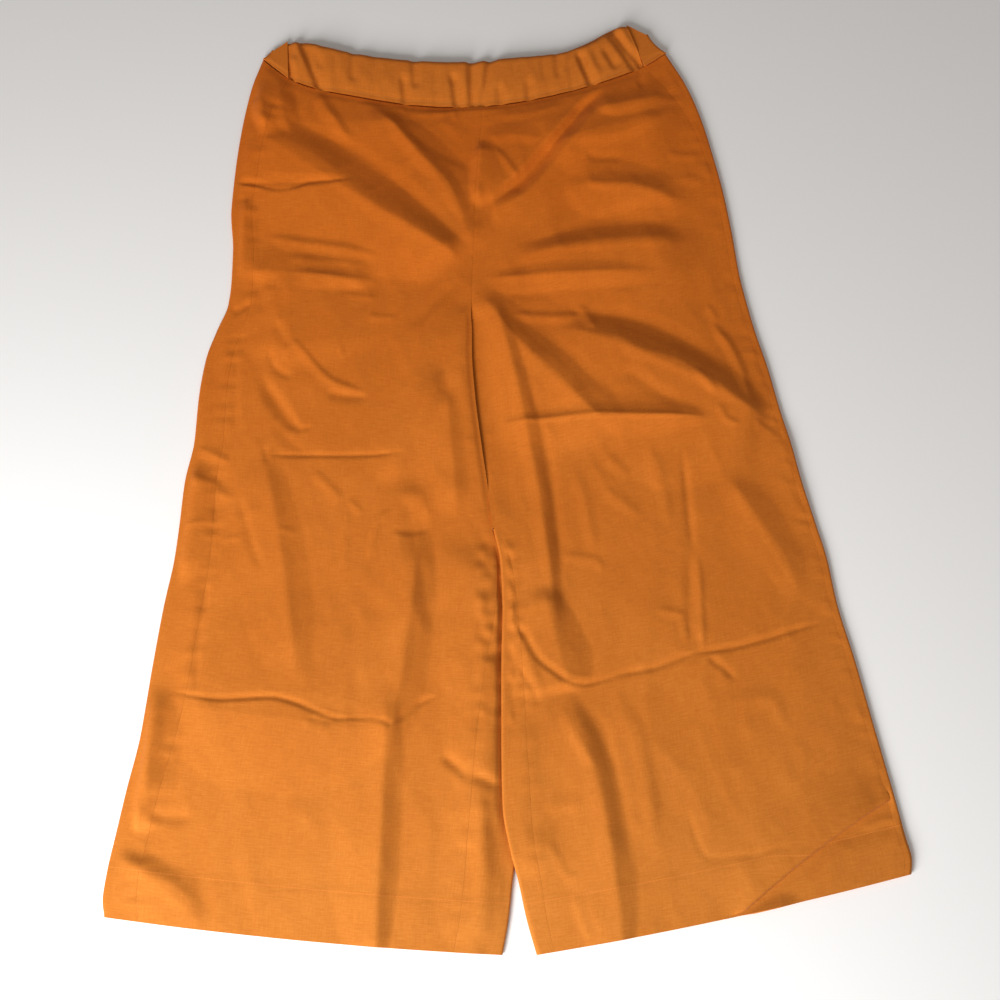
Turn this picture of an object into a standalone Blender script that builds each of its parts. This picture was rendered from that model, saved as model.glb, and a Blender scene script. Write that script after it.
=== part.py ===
"""Wide-leg culottes with an elasticated waist, laid flat on their back with the front upwards.

Six sewn pieces, each a closed wall of cloth: two front panels on top, two back panels that lie on the floor and
turn over the side folds to their seams on the top, and a waistband in two lengths. +X is to the right, +Y runs from
the hems to the waist and +Z is up. The origin is the centre of the outline, on the floor. Tables are in millimetres.
"""

import math

import bmesh
import bpy
import numpy as np

MM = 0.001

# Cloth and seams
WALL = 1.0
HEM_WALL = 1.6
BAND_WALL = 2.0
SEAM_GAP = 0.3
BAND_SEAM_GAP = 0.4
HEM_START = 20.4  # section, counted from the waist, at which the turned-up hem begins
HEM_STEP = 0.08  # sections over which the wall thickens

# Side folds and how the top layer rises inside them
FOLD_RADIUS = 1.9  # across the floor, to the outer skin
BAND_FOLD_RADIUS = 2.7
BAND_HEIGHT = 5.4
OUTER_HEIGHT = 3.8  # top skin at an outer fold
LOFT = 1.4  # how far the front floats above its folds
WAIST_RISE = 1.3  # sections below the waist seam over which it rises to that
WAIST_RELIEF = 0.42  # share of the folds' height that is left at the waist seam
OUTER_RISE = 60.0
INNER_RISE = 44.0
INNER_REACH = 70.0  # strip beside the inner end in which the top skin comes to its height there
LEFT_EASE = (12.0, 0.3)  # how far in from the side fold the relief is full, and its share at the fold
RIGHT_EASE = (24.0, 0.6)
INNER_EASE = 24.0  # and how far in from a leg's inner fold
INNER_STILL = 4.0  # strip beside that fold which stays flat
INNER_FLAT = 14.0  # strip of a leg that stays low beside its inner fold
FLOOR_HEIGHT = 2.6  # lowest top skin over two layers
HEM_FLOOR_HEIGHT = 3.7
HEM_FLOOR_SECTIONS = 1.0  # sections over which the one changes to the other
LIFT_FLAT = 13.0  # strip of the right leg that lies on the left leg
LIFT_RAMP = 44.0
CROTCH = 7.0  # section at which the legs part
PARTING = 1.0  # sections over which each leg takes its own inner edge
WRAP_START = 13.0  # section below which the backs turn over the inner folds; above it the inseam is the edge

# Grid
FRONT_COLUMNS = 20
STRIP_COLUMNS = 2
ARC_COLUMNS = 4
TURN_COLUMNS = ARC_COLUMNS + STRIP_COLUMNS
BOTTOM_COLUMNS = 8
RAMP_STOPS = (57.0, 41.0, 27.0, 13.0)  # distances from the inner fold at which the bottom has a column
BAND_ROWS = 3
UPPER_ROWS = 22
LOWER_ROWS = 12
OPENING = 0.08  # sections over which an inseam opens from the edge on to the top
LAST_PLAIN_ROW = 20.0  # section of the last row before the hem's own rows
ROWS = np.concatenate((
    np.linspace(0.0, WRAP_START, UPPER_ROWS + 1)[:-1],
    [WRAP_START - OPENING],
    np.linspace(WRAP_START, LAST_PLAIN_ROW, LOWER_ROWS + 1),
    [HEM_START, HEM_START + HEM_STEP, 21.2, 22.0],
))
WRAP_ROW = int(np.argmin(np.abs(ROWS - WRAP_START)))

# Right half and left half, a row for each section from the waist seam to the hem. The outer end lies on the side
# fold. The inner end lies on the centre seam down to the crotch, and below it on the leg's inner fold. side_seam and
# inseam are their distances from those folds on the top layer, inner_height is the top skin at the inner end, and
# lift is how far the strip beside the inner fold is raised by the other leg beneath it.
SECTION_COLUMNS = (
    "outer_x", "outer_y", "inner_x", "inner_y", "side_seam", "inseam", "inner_height", "lift",
)
LEFT_SECTIONS = (
    (-240.0, 394.0, -26.0, 343.0, 27.0, 0.0, 5.0, 0.0),
    (-250.0, 358.0, -27.0, 322.0, 26.0, 0.0, 5.0, 0.0),
    (-256.0, 318.0, -29.0, 300.0, 24.0, 0.0, 5.2, 0.0),
    (-259.5, 275.0, -31.0, 265.0, 22.0, 0.0, 5.2, 0.0),
    (-261.0, 232.0, -33.0, 225.0, 20.0, 0.0, 4.6, 0.0),
    (-257.0, 190.0, -34.0, 185.0, 20.0, 0.0, 4.2, 0.0),
    (-256.5, 158.0, -35.0, 155.0, 20.0, 0.0, 3.8, 0.0),
    (-258.0, 135.0, -35.0, 138.0, 21.0, 0.0, 3.8, 0.0),
    (-267.0, 108.0, -35.8, 116.0, 23.0, 0.0, 6.4, 0.0),
    (-275.0, 80.0, -35.5, 85.0, 24.0, 0.0, 7.4, 0.0),
    (-279.0, 42.0, -32.5, 45.0, 25.0, 0.0, 7.8, 0.0),
    (-280.0, 3.0, -27.5, 5.0, 26.0, 0.0, 7.6, 0.0),
    (-286.0, -37.0, -22.0, -35.0, 28.0, 0.0, 6.0, 0.0),
    (-288.0, -78.0, -15.6, -78.0, 30.0, 5.0, 3.4, 0.0),
    (-290.0, -106.0, -5.0, -108.0, 31.0, 7.0, 3.8, 0.0),
    (-296.0, -147.0, 1.0, -150.0, 33.0, 14.0, 3.8, 0.0),
    (-302.0, -202.0, 3.0, -205.0, 33.0, 25.0, 3.8, 0.0),
    (-307.0, -256.0, 4.0, -262.0, 30.0, 33.0, 3.8, 0.0),
    (-315.0, -300.0, 5.0, -313.0, 28.0, 38.0, 3.8, 0.0),
    (-321.0, -337.0, 4.0, -348.0, 27.0, 40.0, 3.8, 0.0),
    (-325.0, -362.0, 1.0, -374.0, 27.0, 39.0, 3.8, 0.0),
    (-327.0, -385.0, -2.0, -401.0, 28.0, 39.0, 3.8, 0.0),
    (-324.5, -400.0, -7.0, -428.5, 28.0, 39.0, 3.8, 0.0),
)
RIGHT_SECTIONS = (
    (153.0, 402.0, -26.0, 343.0, 23.0, 0.0, 5.0, 0.0),
    (172.0, 365.0, -27.0, 322.0, 18.0, 0.0, 5.0, 0.0),
    (184.0, 330.0, -29.0, 300.0, 12.0, 0.0, 5.2, 0.0),
    (193.0, 292.0, -31.0, 265.0, 8.0, 0.0, 5.2, 0.0),
    (201.0, 252.0, -33.0, 225.0, 7.0, 0.0, 4.6, 0.0),
    (207.0, 210.0, -34.0, 185.0, 7.0, 0.0, 4.2, 0.0),
    (212.0, 165.0, -35.0, 155.0, 7.0, 0.0, 3.8, 0.0),
    (218.0, 132.0, -35.0, 138.0, 7.0, 0.0, 3.8, 0.0),
    (224.0, 105.0, -35.8, 116.0, 7.0, 0.0, 3.0, 0.0),
    (232.0, 75.0, -35.5, 85.0, 7.0, 0.0, 2.6, 0.0),
    (241.0, 33.0, -32.5, 45.0, 7.0, 0.0, 2.6, 0.0),
    (249.0, 0.0, -27.5, 5.0, 7.0, 0.0, 2.6, 0.0),
    (256.0, -35.0, -21.5, -35.0, 7.0, 0.0, 2.8, 0.5),
    (266.0, -75.0, -14.0, -78.0, 7.0, 5.0, 3.4, 3.6),
    (273.0, -104.0, -9.0, -108.0, 7.0, 9.0, 3.8, 4.4),
    (279.0, -145.0, -7.0, -150.0, 7.0, 13.0, 3.8, 4.4),
    (290.0, -192.0, -8.0, -205.0, 7.0, 18.0, 3.8, 4.4),
    (300.0, -240.0, -8.0, -262.0, 7.0, 21.0, 3.8, 5.0),
    (309.0, -283.0, -7.0, -313.0, 7.0, 23.0, 3.8, 5.2),
    (315.0, -312.0, -1.0, -348.0, 7.0, 20.0, 3.8, 5.2),
    (320.0, -338.0, 6.0, -374.0, 7.0, 18.0, 3.8, 1.5),
    (323.5, -355.0, 12.0, -401.0, 7.0, 16.0, 3.8, 0.0),
    (322.0, -367.0, 20.0, -428.5, 7.0, 14.0, 3.8, 0.0),
)
HEM_BOW = -3.5  # how far the hem dips between its ends
HEM_BOW_SECTIONS = 3.0

# The waist seam, left fold to right fold, and the waistband's upper edge above it, each as x and y
WAIST_SEAM = (
    (-244.0, 399.0), (-225.0, 382.0), (-210.0, 372.0), (-195.0, 365.5), (-180.0, 361.0), (-150.0, 354.5),
    (-120.0, 348.5), (-90.0, 344.0), (-60.0, 342.0), (-30.0, 342.5), (0.0, 346.0), (30.0, 352.0),
    (60.0, 360.0), (90.0, 370.0), (115.0, 380.0), (135.0, 390.0), (157.0, 405.0),
)
WAIST_BLEND = 2.5  # sections over which the seam's curve dies away down the panels
UPPER_EDGE = (
    (-234.0, 404.0), (-228.0, 409.5), (-216.0, 415.0), (-203.0, 415.8), (-180.0, 410.0), (-155.0, 403.5),
    (-130.0, 398.5), (-95.0, 394.3), (-60.0, 392.4), (-30.0, 393.3), (0.0, 397.0), (25.0, 399.3),
    (50.0, 403.5), (65.0, 410.0), (80.0, 417.5), (95.0, 427.0), (108.0, 433.0), (118.0, 434.0),
    (128.0, 430.0), (136.0, 424.0),
)
# Where each place along the seam meets the upper edge, as the x of both
RUNGS = (
    (-240.0, -231.5), (-228.0, -226.0), (-213.0, -216.0), (-205.0, -210.0), (-196.0, -203.0), (-180.0, -184.0),
    (-150.0, -152.0), (-100.0, -98.0), (-50.0, -47.0), (0.0, 1.0), (50.0, 47.0), (75.0, 67.0),
    (95.0, 84.0), (112.0, 99.0), (130.0, 114.0), (145.0, 126.0), (153.0, 132.5),
)
# Each end fold of the band, from the seam to the upper edge. bow is how far its middle stands out of line.
BAND_END_COLUMNS = ("seam_x", "upper_x", "upper_y", "bow")
LEFT_BAND_END = (-240.0, -231.5, 406.5, -0.8)
RIGHT_BAND_END = (153.0, 136.0, 424.5, 2.0)
BAND_END_RISE = 1.3  # from the seam up to the lower corner of an end fold
REVEAL = 1.5  # how far the back band shows above the front band
REVEAL_MORE = 3.0
REVEAL_AT = 80.0
REVEAL_WIDTH = 45.0

# Gathers of the front waistband: a trough at each place along the seam
GATHER_RISE = 1.0
GATHER_EASE = 0.4  # how much shallower a gather is at the upper edge
GATHER_COLUMNS = ("seam_x", "depth", "half_width")
GATHERS = (
    (-197.0, 1.8, 8.0), (-182.0, 1.0, 8.0), (-151.0, 1.2, 8.0), (-132.0, 0.7, 9.0), (-104.0, 1.3, 8.0),
    (-93.0, 1.2, 8.0), (-75.0, 0.7, 9.0), (-54.0, 1.6, 8.0), (-38.0, 1.8, 8.0), (-22.0, 1.6, 8.0),
    (18.0, 0.8, 9.0), (48.0, 0.8, 9.0), (76.0, 1.5, 8.0), (90.0, 0.9, 8.0), (104.0, 1.4, 8.0),
    (118.0, 1.2, 7.0),
)

# The largest folds and creases of the top layer, each along a bowed line from start to end. height is up, or down
# where it is negative, left and right are the widths of its flanks as seen along the line, widening is how many times
# as wide they are at the end, and tail is the share of its length over which it dies away there.
FOLD_COLUMNS = ("start_x", "start_y", "end_x", "end_y", "bow", "height", "left", "right", "widening", "tail")
FOLDS = (
    # drag folds from the crotch to the left hip
    (-262.0, 330.0, -38.0, 174.0, -3.0, 6.6, 40.0, 88.0, 0.65, 0.12),
    (-244.0, 404.0, -222.0, 306.0, 0.0, 5.0, 34.0, 20.0, 1.0, 0.2),
    (-146.0, 354.0, -30.0, 184.0, 14.0, 5.8, 12.0, 40.0, 3.0, 0.12),
    (-262.0, 262.0, -146.0, 259.0, -4.0, -1.8, 12.0, 12.0, 1.0, 0.2),
    (-250.0, 168.0, -118.0, 156.0, 1.0, 3.6, 36.0, 16.0, 0.8, 0.2),
    (-248.0, 248.0, -248.0, 150.0, 0.0, 3.0, 16.0, 12.0, 1.0, 0.3),
    (-226.0, 203.0, -114.0, 179.0, 0.0, 1.8, 12.0, 14.0, 1.0, 0.2),
    # drag folds from the crotch to the right hip
    (106.0, 376.0, -34.0, 218.0, -5.0, 4.0, 60.0, 50.0, 1.0, 0.2),
    (97.0, 368.0, -26.0, 230.0, -3.0, -5.2, 14.0, 12.0, 1.0, 0.2),
    (28.0, 296.0, 178.0, 342.0, 0.0, 5.2, 32.0, 50.0, 1.2, 0.35),
    (50.0, 258.0, 178.0, 236.0, 2.0, 5.2, 42.0, 40.0, 0.6, 0.4),
    (4.0, 184.0, 184.0, 196.0, 2.0, 5.6, 18.0, 58.0, 1.4, 0.3),
    (-24.0, 160.0, 130.0, 168.0, 0.0, 2.2, 12.0, 22.0, 1.0, 0.3),
    (-30.0, 150.0, 94.0, 10.0, -8.0, 5.0, 24.0, 60.0, 1.5, 0.14),
    (38.0, 114.0, 232.0, 18.0, 9.0, 8.0, 30.0, 112.0, 1.0, 0.12),
    # left thigh
    (-204.0, 168.0, -198.0, 66.0, 0.0, 4.0, 90.0, 46.0, 1.0, 0.3),
    (-224.0, 64.0, -188.0, 10.0, 0.0, -2.4, 12.0, 14.0, 1.0, 0.2),
    (-204.0, 106.0, -124.0, 48.0, -8.0, 2.0, 12.0, 14.0, 1.0, 0.2),
    (-60.0, 74.0, -112.0, -42.0, 3.0, 3.2, 16.0, 34.0, 1.0, 0.2),
    (-50.0, 72.0, -98.0, -52.0, 3.0, -1.6, 50.0, 12.0, 1.0, 0.2),
    (-92.0, -48.0, -64.0, -176.0, 0.0, -1.8, 50.0, 14.0, 1.0, 0.2),
    (-57.0, 56.0, -46.0, -72.0, 0.0, 3.4, 15.0, 32.0, 1.0, 0.25),
    (-219.0, -8.0, -178.0, -216.0, 3.0, 3.6, 22.0, 40.0, 1.0, 0.2),
    (-276.0, -14.0, -282.0, -128.0, 0.0, 4.4, 26.0, 12.0, 1.0, 0.2),
    (-268.0, -120.0, -272.0, -226.0, 0.0, 1.4, 12.0, 16.0, 1.0, 0.2),
    # folds across both legs from storage
    (-218.0, -11.0, -90.0, -10.0, -1.0, -2.0, 14.0, 12.0, 1.0, 0.2),
    (-14.0, 16.0, 176.0, 22.0, 3.0, 3.2, 12.0, 24.0, 1.4, 0.2),
    (-294.0, -220.0, -196.0, -226.0, 0.0, -2.0, 16.0, 12.0, 1.0, 0.2),
    (-202.0, -224.0, -90.0, -249.0, 1.0, -2.2, 16.0, 12.0, 1.0, 0.2),
    (-286.0, -230.0, -108.0, -254.0, 0.0, 4.6, 110.0, 62.0, 1.0, 0.2),
    (-60.0, -270.0, -6.0, -302.0, -2.0, -2.0, 14.0, 12.0, 1.0, 0.2),
    (3.0, -160.0, 58.0, -213.0, 2.0, -2.4, 12.0, 12.0, 1.0, 0.2),
    (28.0, -128.0, 52.0, -222.0, -2.0, 5.2, 16.0, 38.0, 2.0, 0.12),
    (54.0, -215.0, 168.0, -185.0, -2.0, -2.0, 12.0, 12.0, 1.0, 0.2),
    (160.0, -187.0, 272.0, -160.0, 0.0, -2.4, 12.0, 12.0, 1.0, 0.2),
    # left leg, down to the hem
    (-78.0, -70.0, -103.0, -284.0, 3.0, 5.2, 20.0, 36.0, 1.1, 0.2),
    (-103.0, -206.0, -107.0, -444.0, 0.0, 5.4, 17.0, 46.0, 0.9, 0.12),
    (-299.0, -212.0, -303.0, -336.0, 0.0, 6.0, 28.0, 12.0, 1.0, 0.14),
    (-26.0, -286.0, -24.0, -448.0, 0.0, 4.4, 21.0, 36.0, 1.0, 0.12),
    (-324.0, -350.0, -240.0, -410.0, 4.0, 3.4, 16.0, 42.0, 1.0, 0.2),
    # right leg, down to the hem
    (-18.0, 152.0, 40.0, -184.0, 8.0, 4.0, 13.0, 34.0, 0.9, 0.2),
    (162.0, -60.0, 162.0, -190.0, 0.0, 1.6, 12.0, 14.0, 1.0, 0.2),
    (238.0, 24.0, 270.0, -74.0, 0.0, 1.6, 12.0, 30.0, 1.0, 0.3),
    (186.0, -24.0, 250.0, -144.0, 2.0, 2.4, 26.0, 22.0, 0.8, 0.2),
    (42.0, -214.0, 88.0, -444.0, 12.0, 4.6, 18.0, 42.0, 1.0, 0.12),
    (86.0, -222.0, 114.0, -348.0, 7.0, 1.4, 12.0, 18.0, 1.0, 0.2),
    # the pleat in the corner of the right hem, and the strip below it
    (172.0, -403.0, 322.0, -296.0, 4.0, 4.2, 45.0, 12.0, 1.0, 0.35),
    (190.0, -416.0, 262.0, -384.0, 0.0, 4.0, 28.0, 14.0, 0.6, 0.4),
)
FOLD_TAPER = 0.2  # share of a fold's length over which it rises at its start
STRAIGHT = 0.75  # how far the flanks are straight rather than rounded
SLIM_ENDS = 0.6  # width of its flanks at both ends, as a share of that in between
SLIM_REACH = 0.35  # share of its length over which they widen from there

LAYOUT_CENTRE = (-1.72, 2.72)  # centre of the tables' outline, moved to the origin

CLOTH_COLOUR = (0.70, 0.22, 0.035, 1.0)
CLOTH_ROUGHNESS = 0.85


def smooth(value):
    """A soft step from 0 to 1."""
    value = np.clip(value, 0.0, 1.0)
    return value * value * (3.0 - 2.0 * value)


def spline(knots, values, at):
    """A smooth curve through the values at the knots that never swings past them."""
    knots = np.asarray(knots, float)
    values = np.asarray(values, float)
    steps = np.diff(values) / np.diff(knots)
    before = np.concatenate((steps[:1], steps))
    after = np.concatenate((steps, steps[-1:]))
    turning = before * after <= 0.0
    slopes = np.where(turning, 0.0, 2.0 * before * after / np.where(turning, 1.0, before + after))
    index = np.clip(np.searchsorted(knots, at, side="right") - 1, 0, len(knots) - 2)
    width = knots[index + 1] - knots[index]
    u = np.clip((at - knots[index]) / width, 0.0, 1.0)
    rise = u * u * (3.0 - 2.0 * u)
    start = u * (1.0 - u) ** 2 * width * slopes[index]
    end = u * u * (u - 1.0) * width * slopes[index + 1]
    return values[index] * (1.0 - rise) + values[index + 1] * rise + start + end


def arch(share):
    """0 at both ends of a line and 1 at its middle."""
    return 4.0 * share * (1.0 - share)


def through(points, at):
    """The second number of each point as a smooth function of the first."""
    table = np.array(points)
    return spline(table[:, 0], table[:, 1], at)


def fold_relief(x, y):
    """Height that the folds add to the top layer at each point."""
    relief = np.zeros(np.shape(x))
    for row in FOLDS:
        fold = dict(zip(FOLD_COLUMNS, row))
        run_x = fold["end_x"] - fold["start_x"]
        run_y = fold["end_y"] - fold["start_y"]
        length = math.hypot(run_x, run_y)
        along = ((x - fold["start_x"]) * run_x + (y - fold["start_y"]) * run_y) / length ** 2
        side = ((y - fold["start_y"]) * run_x - (x - fold["start_x"]) * run_y) / length
        side = side - fold["bow"] * arch(along)
        within = np.clip(along, 0.0, 1.0)
        full = smooth(within / SLIM_REACH) * smooth((1.0 - within) / SLIM_REACH)
        width = np.where(side > 0.0, fold["left"], fold["right"])
        width = width * (1.0 + (fold["widening"] - 1.0) * within) * (SLIM_ENDS + (1.0 - SLIM_ENDS) * full)
        across = np.minimum(np.abs(side) / width, 1.0)
        ends = smooth(along / FOLD_TAPER) * smooth((1.0 - along) / fold["tail"])
        profile = 1.0 - STRAIGHT * across - (1.0 - STRAIGHT) * smooth(across)
        relief = relief + fold["height"] * profile * ends
    return relief


class Half:
    """One half of the culottes, from its side fold to the centre seam or the leg's inner fold."""

    def __init__(self, sections, ease):
        self.ease, self.share_at_fold = ease
        table = np.array(sections)
        knots = np.arange(len(table), dtype=float)
        self.column = {
            name: spline(knots, table[:, index], ROWS)[:, None]
            for index, name in enumerate(SECTION_COLUMNS)
        }
        self.leg = smooth((ROWS - CROTCH) / PARTING)[:, None]
        self.wraps = (ROWS >= WRAP_START)[:, None]
        self.run_x = self.column["inner_x"] - self.column["outer_x"]
        self.run_y = self.column["inner_y"] - self.column["outer_y"]
        self.width = np.hypot(self.run_x, self.run_y)

    def place(self, across):
        """Plan position of points at the distances across from the side fold."""
        share = across / self.width
        x = self.column["outer_x"] + self.run_x * share
        y = self.column["outer_y"] + self.run_y * share
        at_waist = 1.0 - smooth(ROWS[:, None] / WAIST_BLEND)
        seam = through(WAIST_SEAM, self.column["outer_x"][0] + self.run_x[0] * share) - SEAM_GAP / 2.0
        straight = self.column["outer_y"][0] + self.run_y[0] * share
        at_hem = smooth(1.0 - (ROWS[-1] - ROWS[:, None]) / HEM_BOW_SECTIONS)
        y = y + (seam - straight) * at_waist + HEM_BOW * arch(share) * at_hem
        return x, y

    def bottom_height(self, across):
        """Height of the bottom layer's lower skin, raised where one leg lies on the other."""
        inner = self.width - across
        return self.column["lift"] * (1.0 - smooth((inner - LIFT_FLAT) / LIFT_RAMP))

    def top_height(self, across):
        """Height of the top layer's upper skin."""
        inner = self.width - across
        x, y = self.place(across)
        outer_rise = smooth((across - FOLD_RADIUS) / OUTER_RISE)
        inner_rise = smooth((inner - INNER_FLAT * self.leg) / INNER_RISE)
        waist_rise = smooth(ROWS[:, None] / WAIST_RISE)
        free = self.share_at_fold + (1.0 - self.share_at_fold) * smooth((across - FOLD_RADIUS) / self.ease)
        free = free * (1.0 - self.leg + self.leg * smooth((inner - INNER_STILL) / INNER_EASE))
        free = free * (WAIST_RELIEF + (1.0 - WAIST_RELIEF) * waist_rise)
        ends = OUTER_HEIGHT + (self.column["inner_height"] - OUTER_HEIGHT) * smooth(1.0 - inner / INNER_REACH)
        height = ends + LOFT * outer_rise * inner_rise * waist_rise + fold_relief(x, y) * free
        hem = smooth(1.0 - (HEM_START - ROWS[:, None]) / HEM_FLOOR_SECTIONS)
        floor = FLOOR_HEIGHT + (HEM_FLOOR_HEIGHT - FLOOR_HEIGHT) * hem
        return np.maximum(height, floor) + self.bottom_height(across)

    def arc(self, angle, edge, direction):
        """Distance across and height of the points at an angle round a fold, from 0 on top to pi below."""
        reach = edge + direction * FOLD_RADIUS
        across = edge + direction * FOLD_RADIUS * (1.0 - np.sin(angle))
        top = self.top_height(reach)
        bottom = self.bottom_height(reach)
        return across, bottom + (top - bottom) * (1.0 + np.cos(angle)) / 2.0

    def front_grid(self):
        """The front panel's upper skin, from the side seam to the centre seam or inseam."""
        share = np.linspace(0.0, 1.0, FRONT_COLUMNS + 1)[None, :]
        start = self.column["side_seam"] + SEAM_GAP / 2.0
        stop = self.width - SEAM_GAP / 2.0 - np.where(self.wraps, self.column["inseam"], 0.0)
        across = start + (stop - start) * share
        x, y = self.place(across)
        return np.stack((x, y, self.top_height(across)), axis=-1)

    def back_columns(self):
        """Distances across and heights of the back panel's outer skin, from the side seam round to the inseam."""
        ones = np.ones_like(self.width)
        strip_share = np.linspace(0.0, 1.0, STRIP_COLUMNS, endpoint=False)[None, :]
        angles = np.linspace(0.0, math.pi, ARC_COLUMNS + 1)[None, :]
        start = self.column["side_seam"] - SEAM_GAP / 2.0
        strip = start + (FOLD_RADIUS - start) * strip_share
        fold, fold_height = self.arc(angles * ones, 0.0, 1.0)
        ramp_stops = self.width - np.array(RAMP_STOPS)[None, :]
        plain_share = np.linspace(0.0, 1.0, BOTTOM_COLUMNS + 1)[None, 1:-1]
        plain = FOLD_RADIUS + (ramp_stops[:, :1] - FOLD_RADIUS) * plain_share
        bottom = np.concatenate((plain, ramp_stops), axis=1)
        curl, curl_height = self.arc(angles[:, ::-1] * ones, self.width, -1.0)
        edge = np.where(self.wraps, curl[:, :1], self.width - SEAM_GAP / 2.0)
        seam = self.width - self.column["inseam"] + SEAM_GAP / 2.0
        inner_share = np.linspace(0.0, 1.0, STRIP_COLUMNS + 1)[None, 1:]
        inner = curl[:, -1:] + (seam - curl[:, -1:]) * inner_share
        end = np.concatenate((edge, curl[:, 1:], inner), axis=1)
        end_height = np.concatenate((self.bottom_height(edge), curl_height[:, 1:], self.top_height(inner)), axis=1)
        across = np.concatenate((strip, fold, bottom, end), axis=1)
        height = np.concatenate(
            (self.top_height(strip), fold_height, self.bottom_height(bottom), end_height), axis=1
        )
        return across, height

    def back_grid(self):
        across, height = self.back_columns()
        x, y = self.place(across)
        return np.stack((x, y, height), axis=-1)


def band_point(seam_x, share, reveal=0.0):
    """Plan position at a share of the band's height above a place on the waist seam."""
    low_y = through(WAIST_SEAM, seam_x) + SEAM_GAP / 2.0
    high_x = through(RUNGS, seam_x)
    high_y = through(UPPER_EDGE, high_x) - reveal
    return seam_x + (high_x - seam_x) * share, low_y + (high_y - low_y) * share


def band_end(row, share, reach, side):
    """Plan position at a reach from a band's end fold, measured square to it; side is 1 at the left end."""
    end = dict(zip(BAND_END_COLUMNS, row))
    run_x = end["upper_x"] - end["seam_x"]
    seam_y = through(WAIST_SEAM, end["seam_x"]) + BAND_END_RISE
    run_y = end["upper_y"] - seam_y
    length = math.hypot(run_x, run_y)
    inward_x = side * run_y / length
    inward_y = -side * run_x / length
    inset = reach - end["bow"] * side * arch(share)
    x = end["seam_x"] + run_x * share + inward_x * inset
    return x, seam_y + run_y * share + inward_y * inset


def gather_depth(seam_x):
    depth = np.zeros_like(seam_x)
    for row in GATHERS:
        gather = dict(zip(GATHER_COLUMNS, row))
        across = np.abs(seam_x - gather["seam_x"]) / gather["half_width"]
        depth = depth + gather["depth"] * (1.0 - smooth(across))
    return depth


def band_rows():
    return np.linspace(0.0, 1.0, BAND_ROWS + 1)[:, None]


def front_band_grid(left, right):
    """The front waistband's upper skin, with the columns of the two fronts below it."""
    columns = []
    for half in (left, right):
        share = np.linspace(0.0, 1.0, FRONT_COLUMNS + 1)
        start = half.column["side_seam"][0] + BAND_SEAM_GAP / 2.0
        across = start + (half.width[0] - start) * share
        columns.append(half.place(across[None, :])[0][0])
    seam_x = np.concatenate((columns[0], columns[1][::-1][1:]))[None, :]
    share = band_rows()
    reveal = REVEAL + REVEAL_MORE * (1.0 - smooth(np.abs(through(RUNGS, seam_x) - REVEAL_AT) / REVEAL_WIDTH))
    x, y = band_point(seam_x, share, reveal)
    height = BAND_HEIGHT + GATHER_RISE - gather_depth(seam_x) * (1.0 - GATHER_EASE * share)
    return np.stack((x, y, height), axis=-1)


def back_band_half(half, end, side):
    """Half of the back waistband's outer skin, from its seam on top, round the fold and along the bottom."""
    share = band_rows()
    angles = np.linspace(0.0, math.pi, ARC_COLUMNS + 1)[None, :]
    fold = band_end(end, share, BAND_FOLD_RADIUS * (1.0 - np.sin(angles)), side)
    fold_height = np.tile(BAND_HEIGHT * (1.0 + np.cos(angles)) / 2.0, share.shape)
    first = half.place(half.column["side_seam"] - BAND_SEAM_GAP / 2.0)[0][0]
    side_seam = band_point(first[None, :], share)
    strip_share = np.linspace(0.0, 1.0, STRIP_COLUMNS, endpoint=False)[None, :]
    strip = [seam + (turn[:, :1] - seam) * strip_share for seam, turn in zip(side_seam, fold)]
    across = half.back_columns()[0]
    bottom = band_point(half.place(across)[0][:1, TURN_COLUMNS + 1:-TURN_COLUMNS], share)
    strip_height = np.full(strip[0].shape, BAND_HEIGHT)
    bottom_height = np.zeros(bottom[0].shape)
    x = np.concatenate((strip[0], fold[0], bottom[0]), axis=1)
    y = np.concatenate((strip[1], fold[1], bottom[1]), axis=1)
    height = np.concatenate((strip_height, fold_height, bottom_height), axis=1)
    return np.stack((x, y, height), axis=-1)


def back_band_grid(left, right):
    """The back waistband's outer skin, from its left seam round both folds to its right seam."""
    left_half = back_band_half(left, LEFT_BAND_END, 1.0)
    right_half = back_band_half(right, RIGHT_BAND_END, -1.0)
    return np.concatenate((left_half[:, :-1], right_half[:, ::-1]), axis=1)


def wall_shares():
    """Wall of a panel in each row, as a share of the hem's."""
    turned = smooth((ROWS - HEM_START) / HEM_STEP)
    return (WALL + (HEM_WALL - WALL) * turned) / HEM_WALL


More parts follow.
